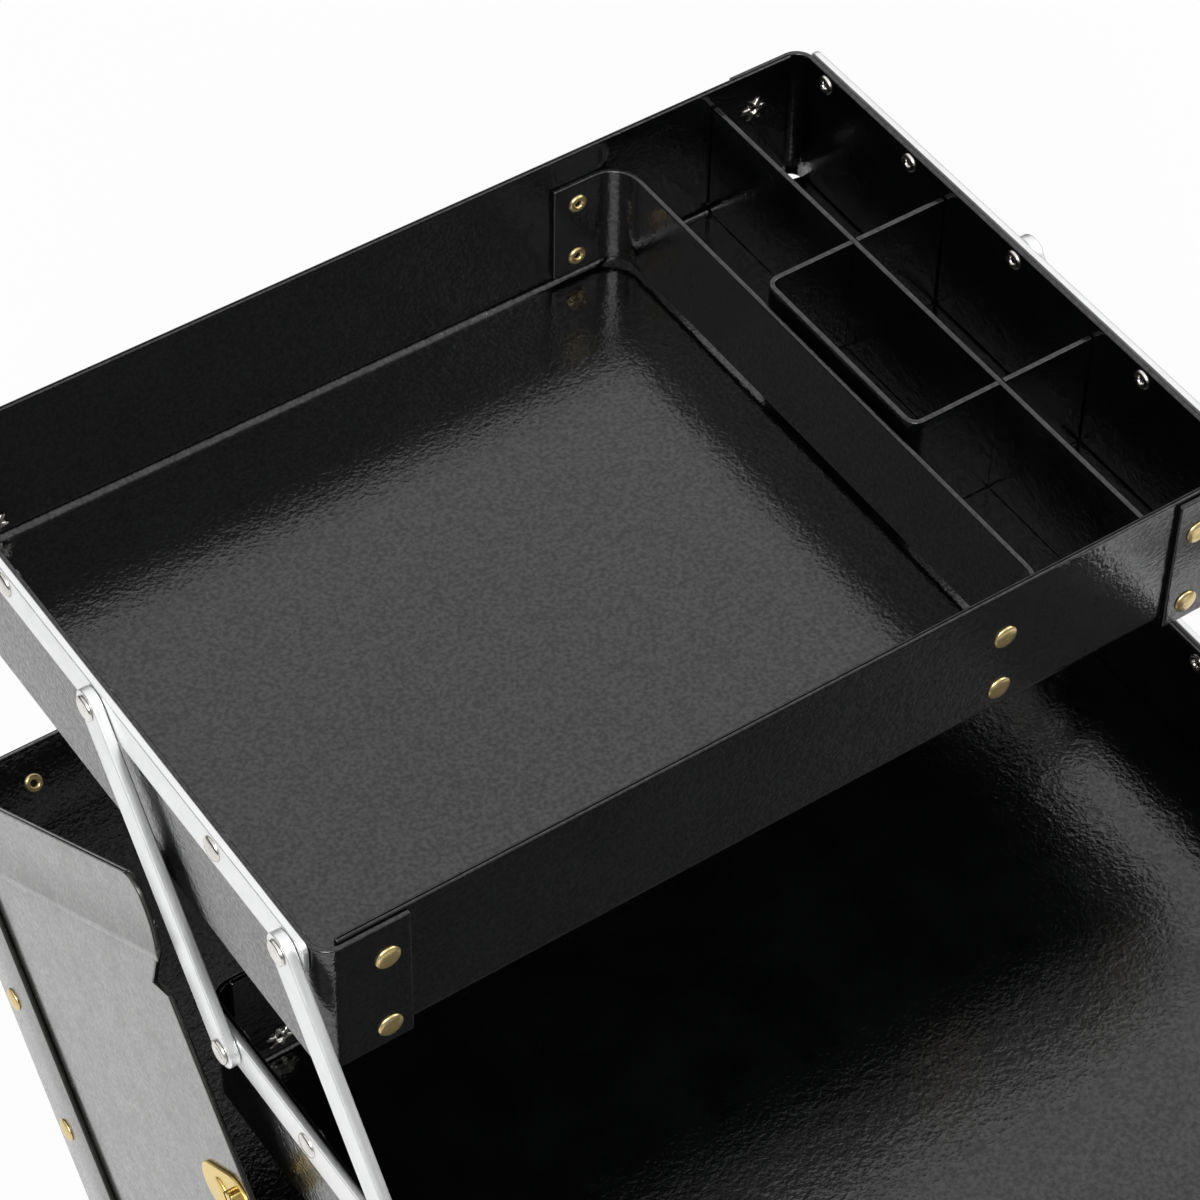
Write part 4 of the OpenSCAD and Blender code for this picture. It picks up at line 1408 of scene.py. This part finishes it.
    def cheek(self, side: int) -> Shape:
        """A cheek: a wall with a creased free front edge and a notched rim, wrapped round at the back.

        Its top follows the shoulder and the hood. Its lower edge is the notch's depth, plus a round of
        r - sqrt(r^2 - d^2) at the front corner, where d is the distance into that corner.

        Args:
            side: 1 for the right cheek, -1 for the left.

        Returns:
            The shape, shut.
        """
        b, plan, run = self.box, self.plan, self.run
        half_w, half_d = b.body_w / 2, b.body_d / 2
        x, y = half_w - b.board / 2, half_d - b.board / 2
        flat = half_d - plan.corner
        near, far, step = self.crease
        corners = [[x - step, -half_d], [x - step, near], [x, far], [x, y], [half_w - plan.flange, y]]
        bends = [0, self.crease_bend, self.crease_bend, plan.corner - b.board / 2, 0]
        path = rounded_path(corners, bends, False, 12)
        start, deep, stop = (b.board - half_d + mark for mark in self.notch[:3])
        depth = self.notch[3]
        path = with_stops(path, 1, (flat, start, deep, stop, half_d - b.board - run - self.shoulder_in))
        turn = self.cheek_corner * (1 - np.cos(np.linspace(0.02, np.pi / 2, 9))) - half_d
        path = with_stops(path, 1, turn, (0.0,))
        on_wall = (path[:, 1] < flat) & (path[:, 0] > half_w - 2 * b.board)
        shoulder = self.wall - b.board + (half_d - b.board - path[:, 1]) * b.lid_rise / run - b.board
        high = np.where(on_wall, np.minimum(shoulder, self.whole - b.board), self.wrap)
        left = np.clip(1 - (path[:, 1] + half_d) / self.cheek_corner, 0, 1)
        bend = self.cheek_corner * (1 - np.sqrt(1 - left ** 2))
        lead, first = self.notch_lead
        close, last = self.notch_end
        rim = np.interp(path[:, 1], [start - lead, start, deep, stop, stop + close],
                        [0, first, depth, depth * last, 0])
        low = np.where(on_wall, rim + bend, 0.0)
        return folded_board(path, low, high, b.board).moved(mirrored_to(side))

    def band(self, side: int) -> Shape:
        """A band over a cheek's top edge: a flat plate that follows the top and the shoulder behind it.

        Args:
            side: 1 for the right band, -1 for the left.

        Returns:
            The shape, shut.
        """
        b, whole = self.box, self.whole
        y = b.body_d / 2 - b.board - self.run
        far = y + self.run * self.band_share
        tip = whole - b.lid_rise * self.band_share
        foot = whole - b.lid_rise - b.board
        corners = [[-self.front, foot], [y, foot], [far, tip - self.band_tip], [far, tip], [y, whole],
                   [-self.front, whole]]
        outline = rounded_path(corners, self.band_bends, True, 5)
        made = plate(outline, b.body_w / 2, b.body_w / 2 + b.board)
        return made.moved(mirrored_to(side) @ ALONG_X)


# Stage


@dataclass(frozen=True)
class Lamp:
    """A square lamp, in metres and watts, turned to a point in the box."""

    name: str
    at: Triple
    size: float
    power: float
    aim: Triple = (0, 0.15, 0.15)

    def build(self) -> None:
        """Adds the lamp to the scene."""
        light = bpy.data.lights.new(self.name, "AREA")
        light.shape = "SQUARE"
        light.size = self.size
        light.energy = self.power
        made = bpy.data.objects.new(self.name, light)
        bpy.context.scene.collection.objects.link(made)
        made.location = self.at
        made.rotation_euler = (Vector(self.aim) - Vector(self.at)).to_track_quat("-Z", "Y").to_euler()


def camera_or_gloss(tree: bpy.types.NodeTree) -> Tuple[bpy.types.Node, bpy.types.NodeSocket]:
    """What tells rays from the camera and from gloss apart from the others.

    Args:
        tree: the node tree.

    Returns:
        A light path node, and a value that is 1 for a ray from the camera or from gloss.
    """
    path = add_node(tree, "LightPath", {})
    rays = {0: path.outputs["Is Camera Ray"], 1: path.outputs["Is Glossy Ray"]}
    return path, add_node(tree, "Math", rays, "MAXIMUM").outputs[0]


def level_over(tree: bpy.types.NodeTree, value: bpy.types.NodeSocket, stretch: Tuple[float, float],
               levels: Tuple[float, float], path: bpy.types.Node) -> bpy.types.NodeSocket:
    """A level that changes over a stretch of a value, and is 1 for the camera.

    Args:
        tree: the node tree.
        value: the value.
        stretch: where the change starts and ends.
        levels: the levels there.
        path: a light path node.

    Returns:
        The level's socket.
    """
    made = add_node(tree, "MapRange", {"From Min": stretch[0], "From Max": stretch[1], "To Min": levels[0],
                                       "To Max": levels[1], "Value": value})
    both = {0: made.outputs[0], 1: path.outputs["Is Camera Ray"]}
    return add_node(tree, "Math", both, "MAXIMUM").outputs[0]


@dataclass
class Studio:
    """The pale floor, the soft light and the camera.

    Gloss sees a white overhead and a white floor near the box, both falling off to dim far away, as in a
    studio. lit gives the distances in metres over which the floor dims, and rise the heights of a ray's
    direction over which the surround grows light.
    """

    camera_at: Triple = (-428.91, -366.41, 1078.86)
    lens: float = 126.05
    sensor: float = 36.0
    clip: Tuple[float, float] = (0.05, 30.0)
    floor_half: float = 6.0
    paper: Tuple[float, ...] = (0.92, 0.92, 0.92, 1)
    paper_rough: float = 0.9
    white_share: float = 0.92
    lit: Tuple[float, float] = (0.75, 1.3)
    rise: Tuple[float, float] = (0.12, 0.5)
    dim: float = 0.05
    fill_light: float = 0.55
    right: Triple = (0.82605484, -0.56343380, 0.01325713)
    down: Triple = (-0.41191309, -0.61962945, -0.66812196)
    forward: Triple = (0.38465700, 0.54644459, -0.74393367)
    lamps: Tuple[Lamp, ...] = (Lamp("key", (-1.1, -1.0, 1.7), 1.1, 34.0),
                               Lamp("fill", (1.6, -0.5, 1.3), 1.4, 12.0))

    def build(self) -> None:
        """Makes the floor, the world, the lamps and the camera."""
        self.floor()
        self.world()
        for lamp in self.lamps:
            lamp.build()
        self.camera()

    def floor(self) -> None:
        """A wide pale floor that the camera and gloss see as white, with a faint shadow."""
        s = self.floor_half
        mesh = bpy.data.meshes.new("floor")
        mesh.from_pydata([(-s, -s, 0), (s, -s, 0), (s, s, 0), (-s, s, 0)], [], [(0, 1, 2, 3)])
        made = bpy.data.objects.new("floor", mesh)
        bpy.context.scene.collection.objects.link(made)
        paper = bpy.data.materials.new("white_paper")
        paper.use_nodes = True
        tree = paper.node_tree
        shader = tree.nodes["Principled BSDF"]
        fill(tree, shader, {"Base Color": self.paper, "Roughness": self.paper_rough,
                            "Specular IOR Level": 0.0})
        path, seen = camera_or_gloss(tree)
        share = add_node(tree, "Math", {0: seen, 1: self.white_share}, "MULTIPLY")
        coord = add_node(tree, "TexCoord", {})
        away = add_node(tree, "VectorMath", {0: coord.outputs["Object"]}, "LENGTH")
        level = level_over(tree, away.outputs["Value"], self.lit, (1.0, self.dim), path)
        glow = add_node(tree, "Emission", {"Color": WHITE, "Strength": level})
        mix = add_node(tree, "MixShader", {"Fac": share.outputs[0], 1: shader.outputs[0], 2: glow.outputs[0]})
        fill(tree, tree.nodes["Material Output"], {"Surface": mix.outputs[0]})
        mesh.materials.append(paper)

    def world(self) -> None:
        """A white surround to the camera and to gloss, and a dimmer one as light."""
        world = bpy.data.worlds.new("surround")
        bpy.context.scene.world = world
        world.use_nodes = True
        tree = world.node_tree
        path, seen = camera_or_gloss(tree)
        both = add_node(tree, "Math", {0: seen, 1: path.outputs["Is Transmission Ray"]}, "MAXIMUM")
        coord = add_node(tree, "TexCoord", {})
        split = add_node(tree, "SeparateXYZ", {0: coord.outputs["Generated"]})
        gloss = level_over(tree, split.outputs["Z"], self.rise, (self.dim, 1.0), path)
        level = add_node(tree, "Mix", {"Factor": both.outputs[0], "A": self.fill_light, "B": gloss})
        fill(tree, tree.nodes["Background"], {"Color": WHITE, "Strength": level.outputs["Result"]})

    def camera(self) -> None:
        """A long lens at the photograph's place and turn."""
        data = bpy.data.cameras.new("camera")
        data.sensor_width = self.sensor
        data.lens = self.lens
        data.clip_start, data.clip_end = self.clip
        made = bpy.data.objects.new("camera", data)
        bpy.context.scene.collection.objects.link(made)
        r, d, f = Vector(self.right), Vector(self.down), Vector(self.forward)
        turn = Matrix((r, -d, -f)).transposed().to_4x4()
        made.matrix_world = Matrix.Translation(Vector(self.camera_at) * MM) @ turn
        bpy.context.scene.camera = made
        bpy.context.scene.view_settings.view_transform = "Standard"


def main() -> None:
    """Builds the box's pieces in order, then the stage."""
    logging.basicConfig(level=logging.INFO, format="%(name)s: %(message)s")
    box, maker, kit = Box(), Maker(), RivetKit()
    BodyPart(box, maker, kit).build()
    LinkSet(box, maker).build()
    LowerTray(box, maker, kit, word="lower", strip_word="rail", at=box.lower_at, high=box.lower_h,
              rivet_heights=(8.3, box.lower_h - 10.4), fixes=(47.5, -50.0),
              pivots=(box.upper_run, box.upper_run - box.upper_pitch)).build()
    UpperTray(box, maker, kit, word="upper", strip_word="bar", at=box.upper_at, high=box.upper_h,
              rivet_heights=(6.8, box.upper_h - 13.4), fixes=(-55.0, 47.0, 86.0),
              pivots=(0.0, -box.upper_pitch)).build()
    LidPart(box, maker, kit).build()
    Studio().build()
    LOG.info("%d pieces made", len(maker.made))


if __name__ == "__main__":
    main()
